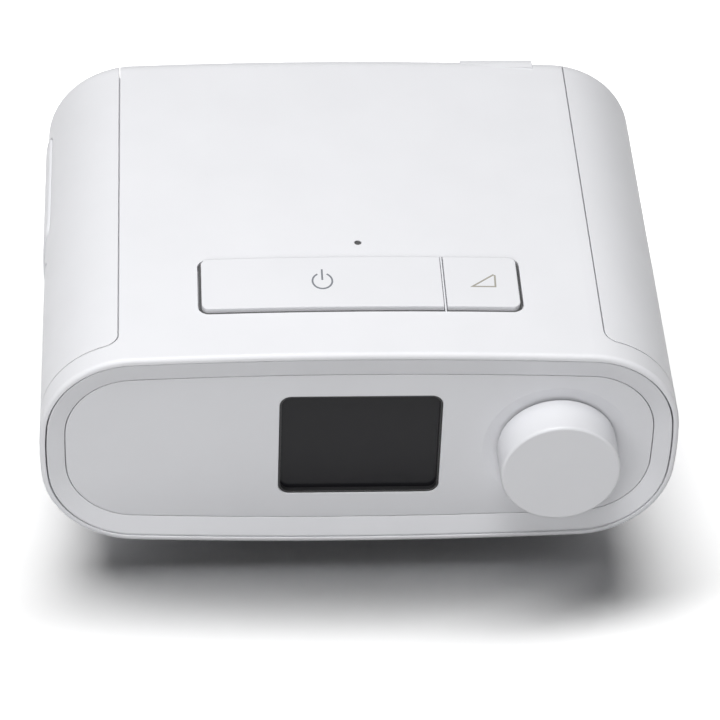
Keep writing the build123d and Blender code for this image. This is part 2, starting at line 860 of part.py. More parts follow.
# ------------------------------------------------------------------ base
mount_angles = (135, 225, 315)
mount_places = [
    (blower_x + mount_reach * cos(radians(a)), blower_y + mount_reach * sin(radians(a)))
    for a in mount_angles
]
main_board_y = front_y + main_board_start
main_hole_x = main_board_width / 2 - board_hole_inset
main_hole_y = main_board_depth / 2 - board_hole_inset
main_board_places = [
    (main_board_x + i * main_hole_x, main_board_y + j * main_hole_y) for i in (-1, 1) for j in (-1, 1)
]
bay_back_x = flank_x + bay_depth
io_board_z = section_middle - card_drop
io_board_end_x = blower_x - io_board_reach
io_board_length = io_board_end_x - bay_back_x
io_board_x = (bay_back_x + io_board_end_x) / 2
card_y = card_door_y + card_door_length / 2
io_hole_y = io_board_width / 2 - io_hole_inset
io_post_places = [
    (bay_back_x + io_hole_start, card_y - io_hole_y),
    (bay_back_x + io_hole_start, card_y + io_hole_y),
    (io_board_end_x - board_hole_inset, card_y + io_hole_y),
]
muffler_x_low = flank_x + muffler_inset
muffler_x_high = blower_x - muffler_reach
muffler_y_low = blower_y - muffler_start
muffler_y_high = rear_y - muffler_end
plinth_width = housing_width - 2 * plinth_inset
plinth_depth = housing_depth - plinth_start - plinth_end
plinth_y = front_y + plinth_start + plinth_depth / 2
floor_z = plinth_z + wall
screw_seat_z = floor_z + screw_seat
foot_x = plinth_width / 2 - foot_inset
foot_ys = (front_y + plinth_start + foot_front, rear_y - plinth_end - foot_rear)
foot_places = [(side * foot_x, y) for side in (-1, 1) for y in foot_ys]

with BuildPart() as plinth:
    with BuildSketch(Plane.XY.offset(plinth_z)):
        with Locations((0, plinth_y)):
            RectangleRounded(plinth_width, plinth_depth, plinth_corner)
    extrude(amount=ground_gap + top_crown + wall - plinth_z)
    fillet(plinth.faces().sort_by(Axis.Z)[0].edges(), radius=plinth_edge)

with BuildPart() as base:
    add(shell.part)
    add(base_region(-seam_gap / 2), mode=Mode.INTERSECT)
    add(seam_lips(-far, section_middle, front_y + seam_depth + lip_reach + seam_gap))
    add(plinth.part)
    with BuildSketch(Plane.XY.offset(floor_z)):
        with Locations((0, plinth_y)):
            RectangleRounded(plinth_width - 2 * wall, plinth_depth - 2 * wall, plinth_corner - wall)
    extrude(amount=section_middle, mode=Mode.SUBTRACT)
    # posts: housing screws, blower, boards and muffler
    with BuildSketch(Plane.XY.offset(plinth_z + wall / 2)):
        with Locations(column_places):
            Circle(column_radius)
    extrude(amount=column_joint_z - plinth_z - wall / 2)
    with BuildSketch(Plane.XY.offset(plinth_z + wall / 2)):
        with Locations(mount_places):
            Circle(mount_post_radius)
    extrude(amount=mount_foot_z - plinth_z - wall / 2)
    with BuildSketch(Plane.XY.offset(plinth_z + wall / 2)):
        with Locations(main_board_places):
            Circle(board_post_radius)
    extrude(amount=main_board_z - plinth_z - wall / 2)
    with BuildSketch(Plane.XY.offset(plinth_z + wall / 2)):
        with Locations(io_post_places):
            Circle(board_post_radius)
    extrude(amount=io_board_z - plinth_z - wall / 2)
    with BuildSketch(Plane.XY.offset(plinth_z + wall / 2)):
        for x in (muffler_x_low + muffler_foot_inset, muffler_x_high - muffler_foot_inset):
            for y in (muffler_y_low + muffler_foot_inset, muffler_y_high - muffler_foot_inset):
                with Locations((x, y)):
                    Circle(post_radius)
    extrude(amount=muffler_z - plinth_z - wall / 2)
    # screw ways from below, with their heads sunk, and sockets for the feet
    with BuildSketch(Plane.XY):
        with Locations(column_places):
            Circle(screw_radius)
    extrude(amount=column_joint_z, mode=Mode.SUBTRACT)
    with BuildSketch(Plane.XY):
        with Locations(column_places):
            Circle(screw_head_radius)
    extrude(amount=screw_seat_z, mode=Mode.SUBTRACT)
    with BuildSketch(Plane.XY.offset(mount_foot_z)):
        with Locations(mount_places):
            Circle(blower_screw_radius)
    extrude(amount=-2 * screw_reach, mode=Mode.SUBTRACT)
    with BuildSketch(Plane.XY.offset(main_board_z)):
        with Locations(main_board_places):
            Circle(screw_radius)
    extrude(amount=-screw_reach, mode=Mode.SUBTRACT)
    with BuildSketch(Plane.XY.offset(io_board_z)):
        with Locations(io_post_places):
            Circle(screw_radius)
    extrude(amount=-screw_reach, mode=Mode.SUBTRACT)
    with BuildSketch(Plane.XY):
        with Locations(foot_places):
            Circle(foot_radius + pin_clearance)
    extrude(amount=foot_height, mode=Mode.SUBTRACT)
base.part.label = "base"
export_step(base.part, "parts/base.step")

with BuildPart() as feet:
    with BuildSketch(Plane.XY):
        with Locations(foot_places):
            Circle(foot_radius)
    extrude(amount=foot_height)
    chamfer(feet.edges().group_by(Axis.Z)[0], length=foot_edge)
feet.part.label = "feet"
export_step(feet.part, "parts/feet.step")

with BuildPart() as housing_screws:
    with BuildSketch(Plane.XY.offset(screw_seat_z)):
        with Locations(column_places):
            Circle(screw_radius)
    extrude(amount=column_joint_z + 4 * column_radius - screw_seat_z)
    with BuildSketch(Plane.XY.offset(screw_seat_z)):
        with Locations(column_places):
            Circle(screw_head_radius - pin_clearance)
    extrude(amount=-screw_head)
housing_screws.part.label = "housing_screws"
export_step(housing_screws.part, "parts/housing_screws.step")

# ------------------------------------------------------------------ front bezel, panel and screen
def panel_outline(growth):
    """The front panel's outline, grown all round."""
    with BuildSketch() as outline:
        with Locations((0, panel_rise)):
            add(
                bulged_outline(
                    panel_width + 2 * growth,
                    panel_height + 2 * growth,
                    panel_crown,
                    panel_bulge,
                    panel_corner + growth,
                )
            )
    return outline.sketch


panel_back = panel_setback + panel_thickness

with BuildPart() as dished_band:
    with BuildSketch(front_plane(bezel_setback)):
        with Locations((0, slant_height / 2)):
            add(
                bulged_outline(
                    housing_width - 2 * (bezel_side_inset + bezel_land),
                    slant_height - 2 * (bezel_top_inset + bezel_land),
                    top_crown,
                    side_bulge,
                    corner_radius - bezel_top_inset - bezel_land,
                )
            )
    with BuildSketch(front_plane(panel_setback)):
        add(panel_outline(0))
    loft(ruled=True)

with BuildPart() as bezel_hollow:
    add(bezel_block(-wall, panel_back - ledge_thickness / 3, seat_depth + wall))
    with BuildSketch(front_plane(2 * seat_depth)):
        add(panel_outline(wall))
    extrude(amount=2 * seat_depth, mode=Mode.SUBTRACT)

with BuildPart() as front_bezel:
    add(bezel_block(0, bezel_setback, seat_depth))
    add(dished_band.part, mode=Mode.SUBTRACT)
    add(bezel_hollow.part, mode=Mode.SUBTRACT)
    with BuildSketch(front_plane(panel_back)):
        add(panel_outline(0))
    extrude(amount=panel_back, mode=Mode.SUBTRACT)
    with BuildSketch(front_plane(2 * seat_depth)):
        add(panel_outline(-ledge_width))
    extrude(amount=2 * seat_depth, mode=Mode.SUBTRACT)
    with BuildSketch(front_plane(seat_depth)):
        add(panel_outline(0))
    extrude(amount=seat_depth - panel_back - ledge_thickness, mode=Mode.SUBTRACT)
front_bezel.part.label = "front_bezel"
export_step(front_bezel.part, "parts/front_bezel.step")

front_board_width = housing_width - 2 * front_board_inset
front_hole_width = front_board_width - 2 * front_hole_inset_x
front_hole_height = front_board_height - 2 * front_hole_inset_z
dish_sphere = (dish_radius**2 + dish_depth**2) / (2 * dish_depth)

with BuildPart() as front_panel:
    with BuildSketch(front_plane(panel_back)):
        add(panel_outline(-panel_gap))
    extrude(amount=panel_thickness)
    # boss behind the dish, and posts for the front board
    with BuildSketch(front_plane(panel_back + panel_boss_thickness)):
        with Locations((dial_x, dial_rise)):
            Circle(panel_boss_radius)
    extrude(amount=panel_boss_thickness)
    with BuildSketch(front_plane(front_board_depth)):
        with Locations((0, panel_rise)):
            with GridLocations(front_hole_width, front_hole_height, 2, 2):
                Circle(stem_radius)
    extrude(amount=front_board_depth - panel_back)
    with BuildSketch(front_plane(front_board_depth)):
        with Locations((0, panel_rise)):
            with GridLocations(front_hole_width, front_hole_height, 2, 2):
                Circle(screw_radius)
    extrude(amount=front_board_depth - panel_back, mode=Mode.SUBTRACT)
    # screen cut-out, dial dish and the bushing's hole
    with BuildSketch(front_plane(0)):
        with Locations((screen_x, screen_rise)):
            RectangleRounded(screen_width, screen_height, screen_corner)
        with Locations((dial_x, dial_rise)):
            Circle(bushing_radius + flange_clearance)
    extrude(amount=-front_board_depth, mode=Mode.SUBTRACT)
    with Locations(front_plane(panel_setback - dish_sphere + dish_depth)):
        with Locations((dial_x, dial_rise, 0)):
            Sphere(dish_sphere, mode=Mode.SUBTRACT)
front_panel.part.label = "front_panel"
export_step(front_panel.part, "parts/front_panel.step")

lens_depth = panel_setback + lens_setback
lens_back = lens_depth + lens_thickness
frame_back = lens_back + frame_floor
frame_width = screen_width - 2 * frame_play
frame_height = screen_height - 2 * frame_play
opening_width = frame_width - 2 * frame_wall
opening_height = frame_height - 2 * frame_wall
with BuildPart() as display_frame:
    with BuildSketch(front_plane(frame_back)):
        with Locations((screen_x, screen_rise)):
            RectangleRounded(
                screen_width + 2 * frame_flange, screen_height + 2 * frame_flange, screen_corner
            )
    extrude(amount=frame_back - panel_back)
    with BuildSketch(front_plane(panel_back)):
        with Locations((screen_x, screen_rise)):
            RectangleRounded(frame_width, frame_height, screen_corner - frame_play)
    extrude(amount=panel_thickness - frame_setback)
    with BuildSketch(front_plane(lens_back)):
        with Locations((screen_x, screen_rise)):
            RectangleRounded(opening_width, opening_height, screen_corner - frame_wall)
    extrude(amount=lens_back, mode=Mode.SUBTRACT)
    with BuildSketch(front_plane(frame_back)):
        with Locations((screen_x, screen_rise)):
            Rectangle(opening_width - 2 * lens_ledge, opening_height - 2 * lens_ledge)
    extrude(amount=frame_back, mode=Mode.SUBTRACT)
display_frame.part.label = "display_frame"
export_step(display_frame.part, "parts/display_frame.step")

with BuildPart() as display_lens:
    with BuildSketch(front_plane(lens_back)):
        with Locations((screen_x, screen_rise)):
            RectangleRounded(opening_width, opening_height, screen_corner - frame_wall)
    extrude(amount=lens_thickness)
display_lens.part.label = "display_lens"
export_step(display_lens.part, "parts/display_lens.step")

lcd_back = frame_back + lcd_thickness
with BuildPart() as lcd_module:
    with BuildSketch(front_plane(lcd_back)):
        with Locations((screen_x, screen_rise)):
            Rectangle(screen_width + frame_flange, screen_height + frame_flange)
    extrude(amount=lcd_thickness)
    with BuildSketch(front_plane(frame_back)):
        with Locations((screen_x, screen_rise)):
            Rectangle(opening_width - 2 * lens_ledge, opening_height - 2 * lens_ledge)
    extrude(amount=-lcd_recess, mode=Mode.SUBTRACT)
lcd_module.part.label = "lcd_module"
export_step(lcd_module.part, "parts/lcd_module.step")

with BuildPart() as lcd_holder:
    with BuildSketch(front_plane(front_board_depth)):
        with Locations((screen_x, screen_rise)):
            Rectangle(screen_width + frame_flange, screen_height + frame_flange)
            Rectangle(screen_width - frame_flange, screen_height - frame_flange, mode=Mode.SUBTRACT)
    extrude(amount=front_board_depth - lcd_back)
lcd_holder.part.label = "lcd_holder"
export_step(lcd_holder.part, "parts/lcd_holder.step")

with BuildPart() as front_board:
    with BuildSketch(front_plane(front_board_depth + board_thickness)):
        with Locations((0, panel_rise)):
            RectangleRounded(front_board_width, front_board_height, board_corner)
            with GridLocations(front_hole_width, front_hole_height, 2, 2):
                Circle(screw_radius, mode=Mode.SUBTRACT)
    extrude(amount=board_thickness)
front_board.part.label = "front_board"
export_step(front_board.part, "parts/front_board.step")

# ------------------------------------------------------------------ dial and encoder
skirt_depth = panel_setback + dish_depth * (1 - (dial_radius / dish_radius) ** 2) - dial_gap
dial_well = dial_height - dial_face
with BuildPart() as control_dial:
    with BuildSketch(front_plane(skirt_depth)):
        with Locations((dial_x, dial_rise)):
            Circle(dial_radius)
    extrude(amount=skirt_depth + dial_height)
    dial_front = control_dial.faces().sort_by(Axis.Y)[0]
    fillet(dial_front.edges(), radius=dial_edge)
    with BuildSketch(front_plane(skirt_depth)):
        with Locations((dial_x, dial_rise)):
            Circle(dial_radius - dial_wall)
    extrude(amount=skirt_depth + dial_well, mode=Mode.SUBTRACT)
    # hub on the shaft's flat, stiffened by radial webs
    with BuildSketch(front_plane(0)):
        with Locations((dial_x, dial_rise)):
            Circle(shaft_radius + dial_wall)
            with PolarLocations(0, 6):
                with Locations((dial_radius / 2, 0)):
                    Rectangle(dial_radius - dial_wall, dial_web)
    extrude(amount=dial_well + dial_face / 2)
    with BuildSketch(front_plane(0)):
        with Locations((dial_x, dial_rise)):
            Circle(shaft_radius)
            with Locations((0, shaft_radius)):
                Rectangle(2 * shaft_radius, 2 * shaft_flat, mode=Mode.SUBTRACT)
    extrude(amount=dial_well, mode=Mode.SUBTRACT)
control_dial.part.label = "control_dial"
export_step(control_dial.part, "parts/control_dial.step")

shaft_end_depth = front_board_depth - encoder_floor - plunger_thickness - dial_travel - push_margin
with BuildPart() as encoder_shaft:
    with BuildSketch(front_plane(shaft_end_depth)):
        with Locations((dial_x, dial_rise)):
            Circle(shaft_radius)
    extrude(amount=shaft_end_depth + dial_well)
    with BuildSketch(front_plane(0)):
        with Locations((dial_x, dial_rise)):
            with Locations((0, shaft_radius)):
                Rectangle(2 * shaft_radius, 2 * shaft_flat)
    extrude(amount=dial_well, mode=Mode.SUBTRACT)
encoder_shaft.part.label = "encoder_shaft"
export_step(encoder_shaft.part, "parts/encoder_shaft.step")

encoder_front_depth = front_board_depth - encoder_depth
with BuildPart() as encoder_body:
    with BuildSketch(front_plane(front_board_depth)):
        with Locations((dial_x, dial_rise)):
            Rectangle(encoder_size, encoder_size)
    extrude(amount=encoder_depth)
    with BuildSketch(front_plane(encoder_front_depth)):
        with Locations((dial_x, dial_rise)):
            Circle(bushing_radius)
    extrude(amount=bushing_length)
    with BuildSketch(front_plane(front_board_depth - encoder_floor)):
        with Locations((dial_x, dial_rise)):
            Circle(shaft_radius + bearing_clearance)
    extrude(amount=front_board_depth, mode=Mode.SUBTRACT)
encoder_body.part.label = "encoder_body"
export_step(encoder_body.part, "parts/encoder_body.step")

with BuildPart() as encoder_plunger:
    with BuildSketch(front_plane(shaft_end_depth + plunger_thickness)):
        with Locations((dial_x, dial_rise)):
            Circle(shaft_radius - 2 * bearing_clearance)
    extrude(amount=plunger_thickness)
encoder_plunger.part.label = "encoder_plunger"
export_step(encoder_plunger.part, "parts/encoder_plunger.step")

# ------------------------------------------------------------------ keys on the top
pocket_left = pocket_x - pocket_width / 2
pocket_right = pocket_x + pocket_width / 2
proud_form = housing_block(-key_proud)
flange_form = housing_block(wall + flange_clearance)
key_flange = key_gap + flange_overlap
key_corner = pocket_corner - key_gap
power_left = pocket_left + key_gap
power_right = key_split_x - key_split_gap / 2
ramp_left = key_split_x + key_split_gap / 2
ramp_right = pocket_right - key_gap
on_foot = (Align.CENTER, Align.CENTER, Align.MIN)


def top_key(left, right, outward):
    """Key cap that follows the crown; its outward side is the one away from the other key."""
    length = right - left
    depth = pocket_depth - 2 * key_gap
    middle = ((left + right) / 2, pocket_y)
    with BuildPart() as flange:
        with BuildSketch(Plane.XY.offset(key_foot)):
            with Locations((middle[0] + outward * key_flange / 2, middle[1])):
                Rectangle(length + key_flange, depth + 2 * key_flange)
        extrude(amount=housing_height)
        add(flange_form, mode=Mode.INTERSECT)
    with BuildPart() as key:
        with BuildSketch(Plane.XY.offset(key_foot)):
            with Locations(middle):
                RectangleRounded(length, depth, key_corner)
            with Locations((middle[0] - outward * key_corner, middle[1])):
                Rectangle(length - 2 * key_corner, depth)
        extrude(amount=housing_height)
        add(proud_form, mode=Mode.INTERSECT)
        add(flange.part)
        with BuildSketch(Plane.XY.offset(key_foot)):
            with Locations(middle):
                Rectangle(length - 2 * key_wall, depth - 2 * key_wall)
        extrude(amount=key_ceiling - key_foot, mode=Mode.SUBTRACT)
        with BuildSketch(Plane.XY.offset(key_board_top + dome_height)):
            with Locations(middle):
                Circle(stem_radius)
        extrude(amount=key_ceiling - key_board_top - dome_height + wall / 2)
    return key.part


def key_dome(x):
    """Hollow silicone dome under a key's stem."""
    with BuildPart() as dome:
        with Locations((x, pocket_y, key_board_top)):
            Cone(dome_radius, stem_radius, dome_height, align=on_foot)
            Cone(
                dome_radius - dome_wall,
                stem_radius - dome_wall,
                dome_height - dome_wall,
                align=on_foot,
                mode=Mode.SUBTRACT,
            )
    return dome.part


with BuildPart() as power_button:
    add(top_key(power_left, power_right, -1))
power_button.part.label = "power_button"
export_step(power_button.part, "parts/power_button.step")

with BuildPart() as ramp_button:
    add(top_key(ramp_left, ramp_right, 1))
ramp_button.part.label = "ramp_button"
export_step(ramp_button.part, "parts/ramp_button.step")

with BuildPart() as power_dome:
    add(key_dome((power_left + power_right) / 2))
power_dome.part.label = "power_dome"
export_step(power_dome.part, "parts/power_dome.step")

with BuildPart() as ramp_dome:
    add(key_dome((ramp_left + ramp_right) / 2))
ramp_dome.part.label = "ramp_dome"
export_step(ramp_dome.part, "parts/ramp_dome.step")

key_board_width = pocket_width + 2 * key_board_side
key_board_low_y = pocket_front - key_board_front
key_board_high_y = pocket_rear + key_board_rear
with BuildPart() as key_board:
    with BuildSketch(Plane.XY.offset(key_board_top)):
        with Locations((pocket_x, (key_board_low_y + key_board_high_y) / 2)):
            RectangleRounded(key_board_width, key_board_high_y - key_board_low_y, board_corner)
        with Locations(key_post_places):
            Circle(screw_radius, mode=Mode.SUBTRACT)
    extrude(amount=-board_thickness)
key_board.part.label = "key_board"
export_step(key_board.part, "parts/key_board.step")

with BuildPart() as light_sensor_lens:
    with BuildSketch(Plane.XY.offset(key_board_top)):
        with Locations((sensor_x, front_y + sensor_setback)):
            Circle(sensor_radius - fit_clearance)
    extrude(amount=housing_height - sensor_recess - key_board_top)
light_sensor_lens.part.label = "light_sensor_lens"
export_step(light_sensor_lens.part, "parts/light_sensor_lens.step")

# ------------------------------------------------------------------ filter behind its door
filter_stop_x = flank_x + filter_depth
tube_start = filter_hinge_y - knuckle_radius - lug_gap
tube_end = filter_door_y + filter_door_length - tube_inset
tube_low = section_middle - filter_door_height / 2 + moulded_wall / 2
tube_high = section_middle + filter_door_height / 2 - moulded_wall / 2
tube_mouth_x = hinge_x + knuckle_radius + lug_gap
window_y_low = muffler_y_low + window_margin
window_y_high = muffler_y_high - window_margin / 2
window_z_low = tube_low + 2 * moulded_wall
window_z_high = tube_high - 2 * moulded_wall

with BuildPart() as side_window_form:
    add(
        box_between(
            (muffler_x_low - 2 * moulded_wall, window_y_low, window_z_low),
            (muffler_x_low + moulded_wall, window_y_high, window_z_high),
        )
    )
side_window = side_window_form.part

top_window_x = muffler_x_low + window_margin / 2
top_window_end_x = muffler_x_high - window_margin / 2
with BuildPart() as top_window_form:
    add(
        box_between(
            (top_window_x, blower_y - duct_depth / 4, muffler_top - wall),
            (top_window_end_x, blower_y + duct_depth / 4, muffler_top + wall),
        )
    )
top_window = top_window_form.part

with BuildPart() as filter_housing:
    add(box_between((tube_mouth_x, tube_start, tube_low), (muffler_x_low, tube_end, tube_high)))
    add(door_lugs(filter_hinge_y, filter_door_height, tube_mouth_x + moulded_wall))
    # the frame's bay, then a narrower way past the ledge it stops on
    add(
        box_between(
            (tube_mouth_x, tube_start + moulded_wall, tube_low + moulded_wall),
            (filter_stop_x, tube_end - moulded_wall, tube_high - moulded_wall),
        ),
        mode=Mode.SUBTRACT,
    )
    add(
        box_between(
            (filter_stop_x, tube_start + 2 * moulded_wall, tube_low + 2 * moulded_wall),
            (muffler_x_low - moulded_wall, tube_end - 2 * moulded_wall, tube_high - 2 * moulded_wall),
        ),
        mode=Mode.SUBTRACT,
    )
    add(side_window, mode=Mode.SUBTRACT)
filter_housing.part.label = "filter_housing"
export_step(filter_housing.part, "parts/filter_housing.step")

frame_start = tube_start + moulded_wall + frame_gap
frame_end = tube_end - moulded_wall - frame_gap
frame_low = tube_low + moulded_wall + frame_gap
frame_high = tube_high - moulded_wall - frame_gap
frame_mouth_x = filter_stop_x - filter_frame_length
with BuildPart() as filter_frame:
    add(box_between((frame_mouth_x, frame_start, frame_low), (filter_stop_x, frame_end, frame_high)))
    add(
        box_between(
            (frame_mouth_x, frame_start + frame_rail, frame_low + frame_rail),
            (filter_stop_x, frame_end - frame_rail, frame_high - frame_rail),
        ),
        mode=Mode.SUBTRACT,
    )
    # bars behind the filter
    with BuildSketch(Plane.YZ.offset(filter_stop_x)):
        with Locations(((frame_start + frame_end) / 2, section_middle)):
            with GridLocations((frame_end - frame_start) / 4, 0, 3, 1):
                Rectangle(frame_rail, frame_high - frame_low)
            Rectangle(frame_end - frame_start, frame_rail)
    extrude(amount=-frame_rail)
filter_frame.part.label = "filter_frame"
export_step(filter_frame.part, "parts/filter_frame.step")

with BuildPart() as pollen_filter:
    add(
        box_between(
            (frame_mouth_x + frame_rail / 2, frame_start + frame_rail, frame_low + frame_rail),
            (filter_stop_x - frame_rail, frame_end - frame_rail, frame_high - frame_rail),
        )
    )
pollen_filter.part.label = "pollen_filter"
export_step(pollen_filter.part, "parts/pollen_filter.step")

# ------------------------------------------------------------------ memory card behind its door
bay_mouth_x = hinge_x + knuckle_radius + lug_gap + moulded_wall / 2
bay_start = card_hinge_y - knuckle_radius - lug_gap / 2
bay_end = card_door_y + card_door_length - moulded_wall
bay_low = section_middle - card_door_height / 2 + moulded_wall / 2
bay_high = section_middle + card_door_height / 2 - moulded_wall / 2
socket_foot = io_board_z + board_thickness
card_foot = socket_foot + socket_wall
card_end_x = bay_back_x + card_length - card_proud
slot_low = card_foot - card_clearance
slot_high = card_foot + card_thickness + card_clearance
slot_half = card_width / 2 + card_clearance
socket_half = slot_half + socket_wall

with BuildPart() as accessory_bay:
    add(box_between((bay_mouth_x, bay_start, bay_low), (bay_back_x, bay_end, bay_high)))
    add(door_lugs(card_hinge_y, card_door_height, bay_mouth_x + moulded_wall))
    add(
        box_between(
            (bay_mouth_x, bay_start + moulded_wall, bay_low + moulded_wall),
            (bay_back_x - moulded_wall, bay_end - moulded_wall, bay_high - moulded_wall),
        ),
        mode=Mode.SUBTRACT,
    )
    add(
        box_between(
            (bay_mouth_x, card_y - slot_half - lug_gap, slot_low - lug_gap / 2),
            (bay_back_x, card_y + slot_half + lug_gap, slot_high + lug_gap / 2),
        ),
        mode=Mode.SUBTRACT,
    )
accessory_bay.part.label = "accessory_bay"
export_step(accessory_bay.part, "parts/accessory_bay.step")

with BuildPart() as io_board:
    with BuildSketch(Plane.XY.offset(io_board_z)):
        with Locations((io_board_x, card_y)):
            Rectangle(io_board_length, io_board_width)
        with Locations(io_post_places):
            Circle(screw_radius, mode=Mode.SUBTRACT)
    extrude(amount=board_thickness)
io_board.part.label = "io_board"
export_step(io_board.part, "parts/io_board.step")

with BuildPart() as card_socket:
    add(
        box_between(
            (bay_back_x, card_y - socket_half, socket_foot),
            (card_end_x + 2 * socket_wall, card_y + socket_half, slot_high + socket_wall),
        )
    )
    add(
        box_between(
            (bay_back_x, card_y - slot_half, slot_low),
            (card_end_x + card_travel + card_play, card_y + slot_half, slot_high),
        ),
        mode=Mode.SUBTRACT,
    )
card_socket.part.label = "card_socket"
export_step(card_socket.part, "parts/card_socket.step")

with BuildPart() as memory_card:
    with BuildSketch(Plane.XY.offset(card_foot)):
        with Locations((card_end_x - card_length / 2, card_y)):
            Rectangle(card_length, card_width)
    extrude(amount=card_thickness)
    inner_edges = memory_card.edges().filter_by(Axis.Z).group_by(Axis.X)[-1]
    chamfer(inner_edges.sort_by(Axis.Y)[-1], length=card_notch)
memory_card.part.label = "memory_card"
export_step(memory_card.part, "parts/memory_card.step")

# ------------------------------------------------------------------ main board
main_board_top = main_board_z + board_thickness
with BuildPart() as main_board:
    with BuildSketch(Plane.XY.offset(main_board_z)):
        with Locations((main_board_x, main_board_y)):
            RectangleRounded(main_board_width, main_board_depth, board_corner)
        with Locations(main_board_places):
            Circle(screw_radius, mode=Mode.SUBTRACT)
    extrude(amount=board_thickness)
main_board.part.label = "main_board"
export_step(main_board.part, "parts/main_board.step")

with BuildPart() as board_chips:
    with BuildSketch(Plane.XY.offset(main_board_top)):
        with Locations((main_board_x, main_board_y)):
            with Locations(processor_place):
                Rectangle(chip_size, chip_size)
            with Locations(driver_place):
                Rectangle(chip_size / 2, chip_size / 2)
    extrude(amount=chip_height)
    with BuildSketch(Plane.XY.offset(socket_foot)):
        with Locations((io_board_end_x - chip_size / 2, card_y)):
            Rectangle(chip_size / 2, chip_size)
    extrude(amount=chip_height)
board_chips.part.label = "board_chips"
export_step(board_chips.part, "parts/board_chips.step")

with BuildPart() as capacitors:
    with BuildSketch(Plane.XY.offset(main_board_top)):
        with Locations((main_board_x, main_board_y)):
            with Locations(capacitor_place):
                with GridLocations(0, 2.5 * capacitor_radius, 1, 2):
                    Circle(capacitor_radius)
    extrude(amount=capacitor_height)
capacitors.part.label = "capacitors"
export_step(capacitors.part, "parts/capacitors.step")

with BuildPart() as board_connectors:
    with BuildSketch(Plane.XY.offset(main_board_top)):
        with Locations((main_board_x, main_board_y + main_hole_y)):
            with GridLocations(header_pitch, 0, 3, 1):
                Rectangle(header_length, header_depth)
        with Locations((main_board_x, main_board_y)):
            with Locations(side_header_place):
                Rectangle(header_depth, side_header_length)
    extrude(amount=header_rise)
board_connectors.part.label = "board_connectors"
export_step(board_connectors.part, "parts/board_connectors.step")


def board_screw_set(plane, places, head_side):
    """Pan-head screws through a board: heads on one side of the plane, shanks on the other."""
    with BuildPart() as screws:
        with BuildSketch(plane):
            with Locations(places):
                Circle(screw_radius)
        extrude(amount=-head_side * screw_reach)
        with BuildSketch(plane):
            with Locations(places):
                Circle(stem_radius)
        extrude(amount=head_side * screw_head)
    return screws.part


front_screw_places = [
    (i * front_hole_width / 2, panel_rise + j * front_hole_height / 2)
    for i in (-1, 1)
    for j in (-1, 1)
]
with BuildPart() as board_screws:
    add(board_screw_set(Plane.XY.offset(main_board_top), main_board_places, 1))
    add(board_screw_set(Plane.XY.offset(socket_foot), io_post_places, 1))
    add(board_screw_set(Plane.XY.offset(key_board_top - board_thickness), key_post_places, -1))
    add(board_screw_set(front_plane(front_board_depth + board_thickness), front_screw_places, -1))
board_screws.part.label = "board_screws"
export_step(board_screws.part, "parts/board_screws.step")

# ------------------------------------------------------------------ muffler and intake duct
muffler_low = (muffler_x_low, muffler_y_low, muffler_z)
muffler_high = (muffler_x_high, muffler_y_high, muffler_top)
muffler_room_low = tuple(value + moulded_wall for value in muffler_low)
muffler_room_high = tuple(value - moulded_wall for value in muffler_high)
with BuildPart() as muffler_box:
    add(box_between(muffler_low, muffler_high))
    add(box_between(muffler_room_low, muffler_room_high), mode=Mode.SUBTRACT)
    add(side_window, mode=Mode.SUBTRACT)
    add(top_window, mode=Mode.SUBTRACT)
muffler_box.part.label = "muffler_box"
export_step(muffler_box.part, "parts/muffler_box.step")

with BuildPart() as muffler_foam:
    foam_high = (muffler_room_high[0], muffler_room_high[1], muffler_top - foam_drop)
    foam_way_x = muffler_room_high[0] - foam_thickness
    add(box_between(muffler_room_low, foam_high))
    add(
        box_between(
            (muffler_x_low, window_y_low, window_z_low), (foam_way_x, window_y_high, muffler_top)
        ),
        mode=Mode.SUBTRACT,
    )
muffler_foam.part.label = "muffler_foam"
export_step(muffler_foam.part, "parts/muffler_foam.step")

duct_x_low = muffler_x_low + duct_inset
duct_width = blower_x + duct_reach - duct_x_low
duct_x = duct_x_low + duct_width / 2
with BuildPart() as intake_duct:
    with BuildSketch(Plane.XY.offset(muffler_top)):
        with Locations((duct_x, blower_y)):
            RectangleRounded(duct_width, duct_depth, duct_corner)
    extrude(amount=duct_top - muffler_top)
    fillet(intake_duct.faces().sort_by(Axis.Z)[-1].edges(), radius=moulded_wall)
    with BuildSketch(Plane.XY.offset(muffler_top + moulded_wall)):
        with Locations((duct_x, blower_y)):
            RectangleRounded(
                duct_width - 2 * moulded_wall,
                duct_depth - 2 * moulded_wall,
                duct_corner - moulded_wall,
            )
    extrude(amount=duct_top - muffler_top - 2 * moulded_wall, mode=Mode.SUBTRACT)
    add(top_window, mode=Mode.SUBTRACT)
    with BuildSketch(Plane.XY.offset(muffler_top)):
        with Locations((blower_x, blower_y)):
            Circle(eye_radius + eye_rim / 2)
    extrude(amount=moulded_wall, mode=Mode.SUBTRACT)
intake_duct.part.label = "intake_duct"
export_step(intake_duct.part, "parts/intake_duct.step")

# ------------------------------------------------------------------ blower
scroll_step = (scroll_end - scroll_start) / 4
scroll_centres = ((0, 0), (0, -scroll_step), (scroll_step, -scroll_step), (scroll_step, 0))
duct_half = port_inner_radius
duct_middle = scroll_end - duct_half
duct_end_y = blower_y + duct_length + volute_wall
impeller_low = volute_floor + impeller_floor_gap
impeller_high = volute_roof - impeller_roof_gap


def scroll_outline(growth):
    """Scroll of four quarter arcs with its outlet duct, grown all round, about the blower's axis."""
    radius = scroll_start + growth
    end = radius + 4 * scroll_step
    with BuildSketch() as outline:
        with BuildLine():
            for turn, centre in enumerate(scroll_centres):
                CenterArc(centre, radius + turn * scroll_step, 90 * turn, 90)
            Line((end, 0), (radius, 0))
        make_face()
        with Locations((duct_middle, (duct_length + growth) / 2)):
            Rectangle(2 * (duct_half + growth), duct_length + growth)
    return outline.sketch


